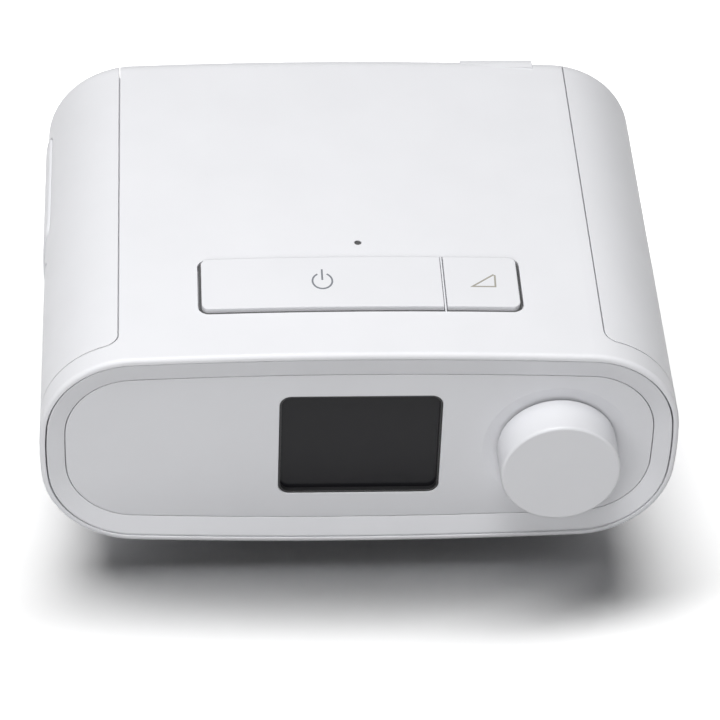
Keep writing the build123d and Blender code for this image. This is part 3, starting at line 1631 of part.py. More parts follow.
with BuildPart() as volute:
    with BuildSketch(Plane.XY.offset(volute_low)):
        with Locations((blower_x, blower_y)):
            add(scroll_outline(volute_wall))
    extrude(amount=volute_high - volute_low)
    # mounting ears and the spigot for the outlet sleeve
    with BuildSketch(Plane.XY.offset(volute_low)):
        with Locations((blower_x, blower_y)):
            with PolarLocations(0, 3, start_angle=135, angular_range=180):
                with Locations(((scroll_start + mount_reach) / 2, 0)):
                    SlotCenterToCenter(mount_reach - scroll_start, 2 * mount_radius)
    extrude(amount=ear_thickness)
    with BuildSketch(Plane.XZ.offset(-duct_end_y)):
        with Locations((port_x, port_z)):
            Circle(port_outer_radius)
    extrude(amount=-spigot_length)
    # eye rim, bearing boss, then the hollow
    with BuildSketch(Plane.XY.offset(volute_high)):
        with Locations((blower_x, blower_y)):
            Circle(eye_radius + eye_rim)
    extrude(amount=muffler_top - volute_high)
    with BuildSketch(Plane.XY.offset(volute_low)):
        with Locations((blower_x, blower_y)):
            Circle(bearing_radius + moulded_wall)
    extrude(amount=-bearing_length)
    with BuildSketch(Plane.XY.offset(volute_floor)):
        with Locations((blower_x, blower_y)):
            add(scroll_outline(0))
    extrude(amount=volute_height, mode=Mode.SUBTRACT)
    with BuildSketch(Plane.XY.offset(volute_roof)):
        with Locations((blower_x, blower_y)):
            Circle(eye_radius)
    extrude(amount=muffler_top - volute_roof, mode=Mode.SUBTRACT)
    with BuildSketch(Plane.XY.offset(volute_low - bearing_length)):
        with Locations((blower_x, blower_y)):
            Circle(bearing_radius)
    extrude(amount=bearing_length, mode=Mode.SUBTRACT)
    with BuildSketch(Plane.XY.offset(volute_low)):
        with Locations((blower_x, blower_y)):
            Circle(motor_shaft_radius + shaft_air)
        with Locations(mount_places):
            Circle(blower_screw_radius)
    extrude(amount=ear_thickness, mode=Mode.SUBTRACT)
    with BuildSketch(Plane.XZ.offset(-(duct_end_y - 2 * volute_wall))):
        with Locations((port_x, port_z)):
            Circle(port_inner_radius)
    extrude(amount=-(spigot_length + 2 * volute_wall), mode=Mode.SUBTRACT)

with BuildPart() as blower_lower:
    add(volute.part)
    split(bisect_by=Plane.XY.offset(port_z), keep=Keep.BOTTOM)
blower_lower.part.label = "blower_lower"
export_step(blower_lower.part, "parts/blower_lower.step")

with BuildPart() as blower_upper:
    add(volute.part)
    split(bisect_by=Plane.XY.offset(port_z), keep=Keep.TOP)
blower_upper.part.label = "blower_upper"
export_step(blower_upper.part, "parts/blower_upper.step")

with BuildPart() as eye_gasket:
    with BuildSketch(Plane.XY.offset(volute_high)):
        with Locations((blower_x, blower_y)):
            Circle(eye_radius + eye_rim + gasket_width)
            Circle(eye_radius + eye_rim, mode=Mode.SUBTRACT)
    extrude(amount=muffler_top - volute_high)
eye_gasket.part.label = "eye_gasket"
export_step(eye_gasket.part, "parts/eye_gasket.step")

with BuildSketch() as blade_profile:
    with BuildLine():
        RadiusArc(
            (hub_radius - blade_thickness, 0),
            (impeller_radius * cos(blade_sweep), -impeller_radius * sin(blade_sweep)),
            impeller_radius * 0.8,
        )
    trace(line_width=blade_thickness)

with BuildPart() as impeller:
    with BuildSketch(Plane.XY.offset(impeller_low)):
        with Locations((blower_x, blower_y)):
            Circle(impeller_radius)
    extrude(amount=blade_thickness)
    with BuildSketch(Plane.XY.offset(impeller_low)):
        with Locations((blower_x, blower_y)):
            Circle(hub_radius)
            with PolarLocations(0, impeller_blades):
                add(blade_profile.sketch)
            Circle(impeller_radius, mode=Mode.INTERSECT)
    extrude(amount=impeller_high - impeller_low)
    with BuildSketch(Plane.XY.offset(impeller_low)):
        with Locations((blower_x, blower_y)):
            Circle(motor_shaft_radius)
    extrude(amount=impeller_high - impeller_low, mode=Mode.SUBTRACT)
impeller.part.label = "impeller"
export_step(impeller.part, "parts/impeller.step")

cup_floor = motor_cup_z + moulded_wall
shaft_low = cup_floor + lug_gap
with BuildPart() as motor_shaft:
    with BuildSketch(Plane.XY.offset(shaft_low)):
        with Locations((blower_x, blower_y)):
            Circle(motor_shaft_radius)
    extrude(amount=impeller_high - shaft_low)
motor_shaft.part.label = "motor_shaft"
export_step(motor_shaft.part, "parts/motor_shaft.step")

with BuildPart() as motor_housing:
    with BuildSketch(Plane.XY.offset(motor_cup_z)):
        with Locations((blower_x, blower_y)):
            Circle(motor_cup_radius + volute_wall)
    extrude(amount=volute_low - motor_cup_z)
    with BuildSketch(Plane.XY.offset(volute_low)):
        with Locations((blower_x, blower_y)):
            Circle(motor_cup_radius + 3 * volute_wall)
    extrude(amount=-volute_wall)
    with BuildSketch(Plane.XY.offset(cup_floor)):
        with Locations((blower_x, blower_y)):
            Circle(motor_cup_radius)
            Circle(bearing_radius + moulded_wall, mode=Mode.SUBTRACT)
    extrude(amount=volute_low - cup_floor, mode=Mode.SUBTRACT)
    with BuildSketch(Plane.XY.offset(cup_floor + bearing_length)):
        with Locations((blower_x, blower_y)):
            Circle(bearing_radius + moulded_wall)
    extrude(amount=volute_low - cup_floor, mode=Mode.SUBTRACT)
    with BuildSketch(Plane.XY.offset(cup_floor)):
        with Locations((blower_x, blower_y)):
            Circle(bearing_radius)
    extrude(amount=bearing_length, mode=Mode.SUBTRACT)
motor_housing.part.label = "motor_housing"
export_step(motor_housing.part, "parts/motor_housing.step")

with BuildPart() as motor_bearings:
    for foot_z in (cup_floor, volute_low - bearing_length):
        with BuildSketch(Plane.XY.offset(foot_z)):
            with Locations((blower_x, blower_y)):
                Circle(bearing_radius)
                Circle(motor_shaft_radius + bearing_clearance, mode=Mode.SUBTRACT)
        extrude(amount=bearing_length)
motor_bearings.part.label = "motor_bearings"
export_step(motor_bearings.part, "parts/motor_bearings.step")

with BuildPart() as rotor_magnet:
    with BuildSketch(Plane.XY.offset(stator_low - 1)):
        with Locations((blower_x, blower_y)):
            Circle(magnet_radius)
            Circle(motor_shaft_radius, mode=Mode.SUBTRACT)
    extrude(amount=stator_height + 1.5)
rotor_magnet.part.label = "rotor_magnet"
export_step(rotor_magnet.part, "parts/rotor_magnet.step")

shoe_radius = stator_bore + tooth_shoe
yoke_radius = motor_cup_radius - stator_yoke
with BuildSketch() as tooth_slots:
    Circle(yoke_radius)
    Circle(shoe_radius, mode=Mode.SUBTRACT)
    with PolarLocations(0, stator_teeth):
        with Locations((motor_cup_radius / 2, 0)):
            Rectangle(motor_cup_radius, tooth_width, mode=Mode.SUBTRACT)

with BuildPart() as stator_core:
    with BuildSketch(Plane.XY.offset(stator_low)):
        with Locations((blower_x, blower_y)):
            Circle(motor_cup_radius)
            Circle(stator_bore, mode=Mode.SUBTRACT)
            add(tooth_slots.sketch, mode=Mode.SUBTRACT)
            with PolarLocations(0, stator_teeth, start_angle=180 / stator_teeth):
                with Locations((motor_cup_radius / 2, 0)):
                    Rectangle(motor_cup_radius - 2 * tooth_shoe, tooth_shoe, mode=Mode.SUBTRACT)
    extrude(amount=stator_height)
stator_core.part.label = "stator_core"
export_step(stator_core.part, "parts/stator_core.step")

with BuildPart() as stator_coils:
    with BuildSketch(Plane.XY.offset(stator_low - coil_over)):
        with Locations((blower_x, blower_y)):
            with PolarLocations(0, stator_teeth):
                with Locations(((shoe_radius + yoke_radius) / 2, 0)):
                    RectangleRounded(yoke_radius - shoe_radius - 3 * lug_gap, coil_width, coil_over / 2)
    extrude(amount=stator_height + 2 * coil_over)
    with BuildSketch(Plane.XY.offset(stator_low)):
        with Locations((blower_x, blower_y)):
            with PolarLocations(0, stator_teeth):
                with Locations((motor_cup_radius / 2, 0)):
                    Rectangle(motor_cup_radius, tooth_width)
    extrude(amount=stator_height, mode=Mode.SUBTRACT)
stator_coils.part.label = "stator_coils"
export_step(stator_coils.part, "parts/stator_coils.step")

with BuildPart() as blower_mounts:
    with BuildSketch(Plane.XY.offset(mount_foot_z)):
        with Locations(mount_places):
            Circle(mount_radius)
            Circle(blower_screw_radius, mode=Mode.SUBTRACT)
    extrude(amount=mount_height)
blower_mounts.part.label = "blower_mounts"
export_step(blower_mounts.part, "parts/blower_mounts.step")

ear_top = volute_low + ear_thickness
with BuildPart() as blower_screws:
    with BuildSketch(Plane.XY.offset(ear_top)):
        with Locations(mount_places):
            Circle(blower_screw_radius)
    extrude(amount=mount_foot_z - ear_top - screw_reach)
    with BuildSketch(Plane.XY.offset(ear_top)):
        with Locations(mount_places):
            Circle(2 * blower_screw_radius)
    extrude(amount=screw_head)
blower_screws.part.label = "blower_screws"
export_step(blower_screws.part, "parts/blower_screws.step")

with BuildPart() as outlet_sleeve:
    with BuildSketch(Plane.XZ.offset(-(duct_end_y + lug_gap))):
        with Locations((port_x, port_z)):
            Circle(port_outer_radius + sleeve_wall)
            Circle(port_outer_radius, mode=Mode.SUBTRACT)
    extrude(amount=-sleeve_length)
    for ring in range(3):
        with BuildSketch(Plane.XZ.offset(-(duct_end_y + 2 * sleeve_wall * (ring + 1)))):
            with Locations((port_x, port_z)):
                Circle(port_outer_radius + 1.5 * sleeve_wall)
                Circle(port_outer_radius, mode=Mode.SUBTRACT)
        extrude(amount=-sleeve_wall)
outlet_sleeve.part.label = "outlet_sleeve"
export_step(outlet_sleeve.part, "parts/outlet_sleeve.step")
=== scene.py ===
from math import cos, pi, radians, sin

import bmesh
import bpy
from mathutils import Matrix, Vector
from mathutils.bvhtree import BVHTree


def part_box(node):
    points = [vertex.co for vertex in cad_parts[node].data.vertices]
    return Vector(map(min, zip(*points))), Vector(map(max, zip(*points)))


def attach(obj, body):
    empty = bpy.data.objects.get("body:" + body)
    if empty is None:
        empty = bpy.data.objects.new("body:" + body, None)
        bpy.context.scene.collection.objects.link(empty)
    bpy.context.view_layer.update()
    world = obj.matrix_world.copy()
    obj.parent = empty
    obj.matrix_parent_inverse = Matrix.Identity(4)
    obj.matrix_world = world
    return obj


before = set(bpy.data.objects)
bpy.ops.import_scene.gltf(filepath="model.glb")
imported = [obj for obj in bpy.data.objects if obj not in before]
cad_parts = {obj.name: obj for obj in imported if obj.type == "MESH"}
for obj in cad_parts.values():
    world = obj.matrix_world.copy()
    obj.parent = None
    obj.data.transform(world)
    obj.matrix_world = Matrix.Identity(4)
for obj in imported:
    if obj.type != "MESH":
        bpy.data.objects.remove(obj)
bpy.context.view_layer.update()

scene = bpy.context.scene
MM = 0.001

# ------------------------------------------------------------ measures
EDGE_SOFTNESS = 0.35 * MM      # how far the moulded edges look rounded off
EDGE_SAMPLES = 4

# keys: the flange round three sides of each cap, and the dark lips of painted shade that stand on
# it
FLANGE_WIDTH = 2.3 * MM
FLANGE_OVERLAP = 1.2 * MM      # how much of it the cover hides
CAP_CORNER = 2.4 * MM
GAP_SHADE_WIDTH = 0.66 * MM
GAP_SHADE_CLEARANCE = 0.08 * MM     # between a cap's side and its dark lip of painted shade
GAP_SHADE_HEIGHT = 2.1 * MM
CORNER_STEPS = 8
RUN_STEP = 6.0 * MM            # about the longest run of a strip that follows the crown
WEB_WIDTH = 0.5 * MM
WEB_HEIGHT = 1.6 * MM
WEB_SINK = 0.75 * MM           # top of the web below the caps' tops
CAP_MARGIN = 0.5 * MM          # a place this far inside a cap's end is clear of its rounding
CAP_INSET = 0.8 * MM           # and this far inside the end that has no flange
PROBE_RISE = 10 * MM           # height above a piece from which its top is probed

# prints on the keys, placed from the foot of the front rim
RIM_REACH = 0.3 * MM           # foot of the rim in front of the bezel
RIM_FOOT_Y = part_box("front_bezel")[0][1] - RIM_REACH
INK_THICKNESS = 0.02 * MM
POWER_PLACE = (-11.1 * MM, RIM_FOOT_Y + 35.95 * MM)
POWER_RING = 2.98 * MM         # radius at the middle of its line
POWER_LINE = 0.55 * MM
POWER_GAP = radians(55)
POWER_STRETCH = 1.18           # from front to back
POWER_BAR = (0.35 * MM, 4.55 * MM)
RING_STEPS = 56
RAMP_PLACE = (37.6 * MM, RIM_FOOT_Y + 35.7 * MM)
RAMP_LINE = 0.55 * MM
RAMP_CORNERS = ((-4.2, -2.65), (3.8, -2.65), (4.0, 2.8), (3.15, 3.35))    # in mm
RAMP_SHORT_EDGE = 2 * MM       # longer edges are cut, so that the print follows the crown
RAMP_CUTS = 14

# table, lamps and backdrop, in metres and watts
FLOOR_REACH = 3.0              # from its middle to its edges
FLOOR_DROP = 0.1 * MM
FLOOR_LIT = (0.70, 0.70, 0.70)
FLOOR_SEEN = (1.25, 1.25, 1.25)
FLOOR_FADE = (0.30, 0.60)      # distances between which it turns into the backdrop
OBJECT_MIDDLE = (-0.02, 0, 0.04)
LAMP_SIZE = (0.7, 0.5)
OBJECT_LAMPS = {
    "overhead": dict(place=(-0.15, -0.15, 1.20), power=12.2),
    "front_fill": dict(place=(-0.25, -0.90, 0.62), power=4.4),
}
TABLE_LAMP = dict(place=(-0.05, 0.235, 0.80), target=(0, 0, 0), size=(1.2, 0.25), power=11.5)
ROOM_LIGHT = 0.026
BACKDROP = 1.0
WHITE = (1, 1, 1, 1)
BLACK = (0, 0, 0, 1)

# camera
PICTURE_SIZE = 720
FOCAL_LENGTH = 3299.89         # in widths of one picture element
SENSOR = 36.0
PITCH, YAW, ROLL = radians(42.03), radians(4.67), radians(-2.65)
CAMERA_PLACE = Vector((-60.16, -793.69, 732.3)) * MM
NEAREST_SEEN = 10 * MM

# sockets of a Mix node that mixes colours, and the pace of a Wave node at scale 1
MIX_FACTOR, MIX_LOW, MIX_HIGH, MIX_RESULT = 0, 6, 7, 2
WAVE_RATE = 20                 # radians to a metre


# ------------------------------------------------------------ building blocks of the finishes
def start_finish(name, metal=0.0, specular=0.5, coat=0.0, coat_rough=0.1, sheen=0.0):
    """New Principled material with the values that are the same all over the surface."""
    mat = bpy.data.materials.new(name)
    mat.use_nodes = True
    shader = mat.node_tree.nodes["Principled BSDF"]
    shader.inputs["Metallic"].default_value = metal
    shader.inputs["Specular IOR Level"].default_value = specular
    shader.inputs["Coat Weight"].default_value = coat
    shader.inputs["Coat Roughness"].default_value = coat_rough
    shader.inputs["Sheen Weight"].default_value = sheen
    return mat, shader


def add_node(tree, kind, **values):
    """Shader node with some of its sockets set; an underscore stands for a space."""
    node = tree.nodes.new(kind)
    for name, value in values.items():
        node.inputs[name.replace("_", " ")].default_value = value
    return node


def calculate(tree, operation, first, second):
    """Result of a Math node that is fed by two sockets."""
    node = tree.nodes.new("ShaderNodeMath")
    node.operation = operation
    tree.links.new(first, node.inputs[0])
    tree.links.new(second, node.inputs[1])
    return node.outputs["Value"]


def blend(tree, factor, first, second):
    """Result of a Mix Shader node: first where the factor is 0, second where it is 1."""
    node = tree.nodes.new("ShaderNodeMixShader")
    for socket, source in zip(node.inputs, (factor, first, second)):
        tree.links.new(source, socket)
    return node.outputs["Shader"]


def place_pattern(mat, pattern, stretch=(1, 1, 1)):
    """Feeds a node with object coordinates, stretched."""
    tree = mat.node_tree
    coords = tree.nodes.new("ShaderNodeTexCoord")
    mapping = add_node(tree, "ShaderNodeMapping", Scale=stretch)
    tree.links.new(coords.outputs["Object"], mapping.inputs["Vector"])
    tree.links.new(mapping.outputs["Vector"], pattern.inputs["Vector"])
    return pattern


def noise(mat, per_metre, detail=2.0, stretch=(1, 1, 1)):
    """Cloudy pattern, with about so many clouds to a metre."""
    node = add_node(mat.node_tree, "ShaderNodeTexNoise", Scale=per_metre, Detail=detail)
    return place_pattern(mat, node, stretch).outputs["Fac"]


def bands(mat, pitch, distortion=0.0):
    """Soft even bands stacked along Z, one every pitch."""
    tree = mat.node_tree
    scale = 2 * pi / (WAVE_RATE * pitch)
    node = add_node(tree, "ShaderNodeTexWave", Scale=scale, Distortion=distortion)
    node.wave_type = "BANDS"
    node.bands_direction = "Z"
    return place_pattern(mat, node).outputs["Fac"]


def span(tree, factor, start=0.3, end=0.7, low=0.0, high=1.0):
    """Runs from low to high while the factor runs from start to end, as most of a noise does."""
    node = add_node(tree, "ShaderNodeMapRange", From_Min=start, From_Max=end, To_Min=low,
                    To_Max=high)
    tree.links.new(factor, node.inputs["Value"])
    return node.outputs["Result"]


def mix_colors(tree, factor, low, high):
    node = tree.nodes.new("ShaderNodeMix")
    node.data_type = "RGBA"
    node.inputs[MIX_LOW].default_value = (*low, 1)
    node.inputs[MIX_HIGH].default_value = (*high, 1)
    tree.links.new(factor, node.inputs[MIX_FACTOR])
    return node.outputs[MIX_RESULT]


def tint(mat, shader, factor, low, high, **reach):
    """Colour that runs from low to high with the pattern."""
    tree = mat.node_tree
    color = mix_colors(tree, span(tree, factor, **reach), low, high)
    tree.links.new(color, shader.inputs["Base Color"])


def vary_roughness(mat, shader, factor, low, high):
    tree = mat.node_tree
    tree.links.new(span(tree, factor, low=low, high=high), shader.inputs["Roughness"])


def relief(mat, shader, height, depth, soft_edges=0.0):
    """Bump of a pattern, over edges that look rounded off by soft_edges."""
    tree = mat.node_tree
    bump = add_node(tree, "ShaderNodeBump", Distance=depth)
    tree.links.new(height, bump.inputs["Height"])
    if soft_edges:
        rounding = add_node(tree, "ShaderNodeBevel", Radius=soft_edges)
        rounding.samples = EDGE_SAMPLES
        tree.links.new(rounding.outputs["Normal"], bump.inputs["Normal"])
    tree.links.new(bump.outputs["Normal"], shader.inputs["Normal"])


def shades(color, spread):
    """A colour a little darker and a little lighter than the one given."""
    return [c * (1 - spread) for c in color], [min(1.0, c * (1 + spread)) for c in color]


def seen_directly(tree):
    """1 where the camera looks, straight or through a mirror or glass, and 0 for other light."""
    rays = tree.nodes.new("ShaderNodeLightPath").outputs
    seen = calculate(tree, "MAXIMUM", rays["Is Camera Ray"], rays["Is Glossy Ray"])
    return calculate(tree, "MAXIMUM", seen, rays["Is Transmission Ray"])


# ------------------------------------------------------------ finishes
def moulded_plastic(name, color, rough, spread=0.012, grain=0.004, soft_edges=EDGE_SOFTNESS,
                    **values):
    """Plastic with the fine spark texture of its mould and a faint mottle."""
    mat, shader = start_finish(name, **values)
    tint(mat, shader, noise(mat, per_metre=45, detail=3), *shades(color, spread))
    vary_roughness(mat, shader, noise(mat, per_metre=260), rough - 0.04, rough + 0.04)
    relief(mat, shader, noise(mat, per_metre=2600, detail=3), grain * MM, soft_edges)
    return mat


def screen_glass():
    """Dark, faintly satin cover glass."""
    mat, shader = start_finish("screen_glass", specular=0.2)
    tint(mat, shader, noise(mat, per_metre=30), (0.007, 0.007, 0.009), (0.009, 0.009, 0.011))
    vary_roughness(mat, shader, noise(mat, per_metre=400), 0.14, 0.2)
    relief(mat, shader, noise(mat, per_metre=1500), 0.001 * MM)
    return mat


def brushed_metal(name, color, rough, stretch=(1, 1, 12)):
    """Metal with fine drawn lines across the stretched axis."""
    mat, shader = start_finish(name, metal=1.0)
    lines = noise(mat, per_metre=900, detail=3, stretch=stretch)
    tint(mat, shader, lines, *shades(color, 0.06))
    vary_roughness(mat, shader, lines, rough - 0.08, rough + 0.08)
    relief(mat, shader, lines, 0.004 * MM)
    return mat


def soft_rubber(name, color, rough, grain=0.02):
    """Rubber or silicone with a fine uneven skin."""
    mat, shader = start_finish(name, specular=0.3)
    tint(mat, shader, noise(mat, per_metre=180, detail=4), *shades(color, 0.12))
    vary_roughness(mat, shader, noise(mat, per_metre=500), rough - 0.06, rough + 0.06)
    relief(mat, shader, noise(mat, per_metre=1600, detail=4), grain * MM)
    return mat


def open_foam(name, color, cell):
    """Reticulated foam: lighter strands round open cells, whose middles are darkened as painted
    shade.
    """
    mat, shader = start_finish(name, specular=0.15, sheen=0.2)
    cells = add_node(mat.node_tree, "ShaderNodeTexVoronoi", Scale=1 / cell)
    cells.feature = "DISTANCE_TO_EDGE"
    strands = place_pattern(mat, cells).outputs["Distance"]
    # the cells' middles are painted a quarter as light: painted shade in the hollows
    cell_shade = [c * 0.25 for c in color]
    tint(mat, shader, strands, color, cell_shade, start=0.05, end=0.35)
    vary_roughness(mat, shader, noise(mat, per_metre=900), 0.85, 0.98)
    relief(mat, shader, strands, -0.25 * MM)
    return mat


def circuit_board():
    """Green board with its copper tracks showing as paler lines under the lacquer."""
    mat, shader = start_finish("circuit_board", coat=0.6, coat_rough=0.25)
    tracks = add_node(mat.node_tree, "ShaderNodeTexBrick", Scale=120, Mortar_Size=0.035,
                      Color1=BLACK, Color2=BLACK, Mortar=WHITE)
    lines = place_pattern(mat, tracks).outputs["Fac"]
    tint(mat, shader, lines, (0.012, 0.085, 0.035), (0.03, 0.17, 0.07), start=0.2, end=0.8)
    vary_roughness(mat, shader, noise(mat, per_metre=300), 0.3, 0.42)
    relief(mat, shader, lines, 0.03 * MM)
    return mat


def enamelled_windings():
    """Copper wire laid side by side, darker towards the grooves between turns as painted shade."""
    mat, shader = start_finish("enamelled_windings", metal=1.0, coat=0.5, coat_rough=0.15)
    turns = bands(mat, 0.5 * MM, distortion=0.4)
    # dark to light across each turn: painted shade in the grooves between wires
    tint(mat, shader, turns, (0.32, 0.11, 0.04), (0.72, 0.32, 0.14), start=0.1, end=0.9)
    vary_roughness(mat, shader, noise(mat, per_metre=700), 0.25, 0.35)
    relief(mat, shader, turns, 0.2 * MM)
    return mat


def steel_laminations():
    """Stack of thin punched sheets, seen on edge."""
    mat, shader = start_finish("steel_laminations", metal=1.0)
    sheets = bands(mat, 0.5 * MM)
    tint(mat, shader, sheets, (0.10, 0.10, 0.11), (0.30, 0.30, 0.32), start=0.1, end=0.6)
    vary_roughness(mat, shader, noise(mat, per_metre=800), 0.38, 0.52)
    relief(mat, shader, sheets, 0.1 * MM)
    return mat


def printed_ink(name, color):
    """Thin print on a key, slightly uneven in density."""
    mat, shader = start_finish(name, specular=0.35)
    tint(mat, shader, noise(mat, per_metre=2200, detail=3), *shades(color, 0.10))
    vary_roughness(mat, shader, noise(mat, per_metre=900), 0.45, 0.6)
    relief(mat, shader, noise(mat, per_metre=2600), 0.002 * MM)
    return mat


def studio_floor():
    """Matt white table that takes shadows, and turns into the backdrop away from the object.

    It is whiter where it is seen than where it throws light back.
    """
    mat, unused = start_finish("studio_floor")
    tree = mat.node_tree
    tree.nodes.remove(unused)
    seen = seen_directly(tree)
    paper = tree.nodes.new("ShaderNodeBsdfDiffuse")
    tree.links.new(mix_colors(tree, seen, FLOOR_LIT, FLOOR_SEEN), paper.inputs["Color"])
    relief(mat, paper, noise(mat, per_metre=40), 0.002 * MM)
    distance = tree.nodes.new("ShaderNodeVectorMath")
    distance.operation = "LENGTH"
    far = span(tree, place_pattern(mat, distance).outputs["Value"], *FLOOR_FADE)
    glow = add_node(tree, "ShaderNodeEmission", Color=WHITE, Strength=BACKDROP)
    table = blend(tree, calculate(tree, "MULTIPLY", far, seen), paper.outputs["BSDF"],
                  glow.outputs["Emission"])
    tree.links.new(table, tree.nodes["Material Output"].inputs["Surface"])
    return mat


shell_white = moulded_plastic("shell_white", (0.80, 0.804, 0.83), 0.50, specular=0.4)
bezel_grey = moulded_plastic("bezel_grey", (0.73, 0.735, 0.762), 0.36)
panel_grey = moulded_plastic("panel_grey", (0.73, 0.735, 0.762), 0.40)
dial_white = moulded_plastic("dial_white", (0.715, 0.719, 0.744), 0.36)
key_white = moulded_plastic("key_white", (0.79, 0.794, 0.82), 0.48, specular=0.4)
black_plastic = moulded_plastic("black_plastic", (0.012, 0.012, 0.013), 0.45, spread=0.1)
inner_plastic = moulded_plastic("inner_plastic", (0.45, 0.46, 0.47), 0.55, spread=0.03,
                                soft_edges=0)
card_blue = moulded_plastic("card_blue", (0.01, 0.02, 0.09), 0.5, spread=0.08)
clear_dark = moulded_plastic("clear_dark", (0.012, 0.012, 0.014), 0.12, coat=1.0, soft_edges=0)
cover_glass = screen_glass()
steel = brushed_metal("screw_steel", (0.55, 0.55, 0.56), 0.30)
gold = brushed_metal("contact_gold", (0.80, 0.58, 0.24), 0.25, stretch=(1, 12, 1))
aluminium = brushed_metal("aluminium", (0.70, 0.70, 0.71), 0.35)
magnet_black = brushed_metal("magnet_black", (0.09, 0.09, 0.095), 0.45)
foot_rubber = soft_rubber("foot_rubber", (0.030, 0.030, 0.031), 0.75)
# dark rubber for the lips in the keys' gaps, which paint the shade of those gaps
key_gap_shade = soft_rubber("key_gap_shade", (0.085, 0.085, 0.088), 0.7, grain=0.01)
silicone = soft_rubber("silicone", (0.60, 0.60, 0.585), 0.50, grain=0.006)
filter_blue = open_foam("filter_blue", (0.12, 0.24, 0.46), cell=1.1 * MM)
muffler_grey = open_foam("muffler_grey", (0.09, 0.09, 0.093), cell=1.6 * MM)
board_green = circuit_board()
windings = enamelled_windings()
laminations = steel_laminations()
power_ink = printed_ink("power_ink", (0.20, 0.21, 0.235))
ramp_ink = printed_ink("ramp_ink", (0.36, 0.345, 0.30))

NODE_FINISHES = (
    (shell_white, "main_cover left_side_shell right_side_shell rear_panel base"),
    (shell_white, "filter_door card_door outlet_port"),
    (bezel_grey, "front_bezel"),
    (panel_grey, "front_panel"),
    (dial_white, "control_dial"),
    (key_white, "power_button ramp_button"),
    (black_plastic, "display_frame lcd_module encoder_body board_chips card_socket"),
    (black_plastic, "power_inlet humidifier_connector"),
    (clear_dark, "light_sensor_lens"),
    (cover_glass, "display_lens"),
    (foot_rubber, "feet"),
    (steel, "board_screws housing_screws blower_screws hinge_pins"),
    (steel, "encoder_shaft motor_shaft motor_bearings"),
    (gold, "inlet_pin connector_contacts"),
    (inner_plastic, "lcd_holder encoder_plunger filter_housing filter_frame accessory_bay"),
    (inner_plastic, "board_connectors muffler_box intake_duct blower_lower blower_upper impeller"),
    (silicone, "power_dome ramp_dome outlet_sleeve eye_gasket blower_mounts"),
    (board_green, "front_board key_board main_board io_board"),
    (filter_blue, "pollen_filter"),
    (muffler_grey, "muffler_foam"),
    (windings, "stator_coils"),
    (aluminium, "capacitors motor_housing"),
    (laminations, "stator_core"),
    (magnet_black, "rotor_magnet"),
    (card_blue, "memory_card"),
)
for finish, names in NODE_FINISHES:
    for name in names.split():
        for material_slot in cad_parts[name].material_slots:
            material_slot.material = finish


# ------------------------------------------------------------ making pieces
def put_in_scene(name, data):
    thing = bpy.data.objects.new(name, data)
    scene.collection.objects.link(thing)
    return thing


def make_object(name, mesh, finish):
    """Makes an object of a bmesh, in place."""
    data = bpy.data.meshes.new(name)
    mesh.to_mesh(data)
    mesh.free()
    data.materials.append(finish)
    return put_in_scene(name, data)


def surface_of(node):
    """Tree for finding the height of a CAD node's surface at a place."""
    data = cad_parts[node].data
    data.calc_loop_triangles()
    places = [v.co for v in data.vertices]
    return BVHTree.FromPolygons(places, [t.vertices for t in data.loop_triangles])


def only(kind, elements):
    """The elements of one kind, out of those that an operator gives back."""
    return [e for e in elements if isinstance(e, kind)]


def lay_on(mesh, node, thickness, sink=0.0, nearest=None):
    """Lays a flat mesh on a node's top, or sink below it, and gives it its thickness.

    nearest turns a vertex's place into the place where the height is taken.
    """
    top = surface_of(node)
    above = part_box(node)[1].z + PROBE_RISE
    for vert in mesh.verts:
        x, y = nearest(vert.co) if nearest else vert.co.xy
        hit = top.ray_cast(Vector((x, y, above)), Vector((0, 0, -1)))
        vert.co.z = hit[0].z - sink
    grown = bmesh.ops.extrude_face_region(mesh, geom=mesh.faces[:])["geom"]
    bmesh.ops.translate(mesh, vec=(0, 0, thickness), verts=only(bmesh.types.BMVert, grown))
    bmesh.ops.recalc_face_normals(mesh, faces=mesh.faces)


def start_strip(mesh, near, far):
    """First edge of a flat strip."""
    return mesh.edges.new([mesh.verts.new((*near, 0)), mesh.verts.new((*far, 0))])


def run_strip(mesh, edge, move):
    """Runs a strip on from its last edge in short steps; gives the new last edge."""
    steps = max(1, round(Vector(move).length / RUN_STEP))
    step = Vector((*move, 0)) / steps
    for _ in range(steps):
        grown = bmesh.ops.extrude_edge_only(mesh, edges=[edge])["geom"]
        verts = only(bmesh.types.BMVert, grown)
        bmesh.ops.translate(mesh, vec=step, verts=verts)
        edge = next(e for e in verts[0].link_edges if e.other_vert(verts[0]) in verts)
    return edge


def turn_strip(mesh, edge, centre, angle, steps):
    """Swings a strip on round a centre; gives the new last edge."""
    swung = bmesh.ops.spin(mesh, geom=[edge, *edge.verts], cent=(*centre, 0), axis=(0, 0, 1),
                           angle=angle, steps=steps)
    return only(bmesh.types.BMEdge, swung["geom_last"])[0]


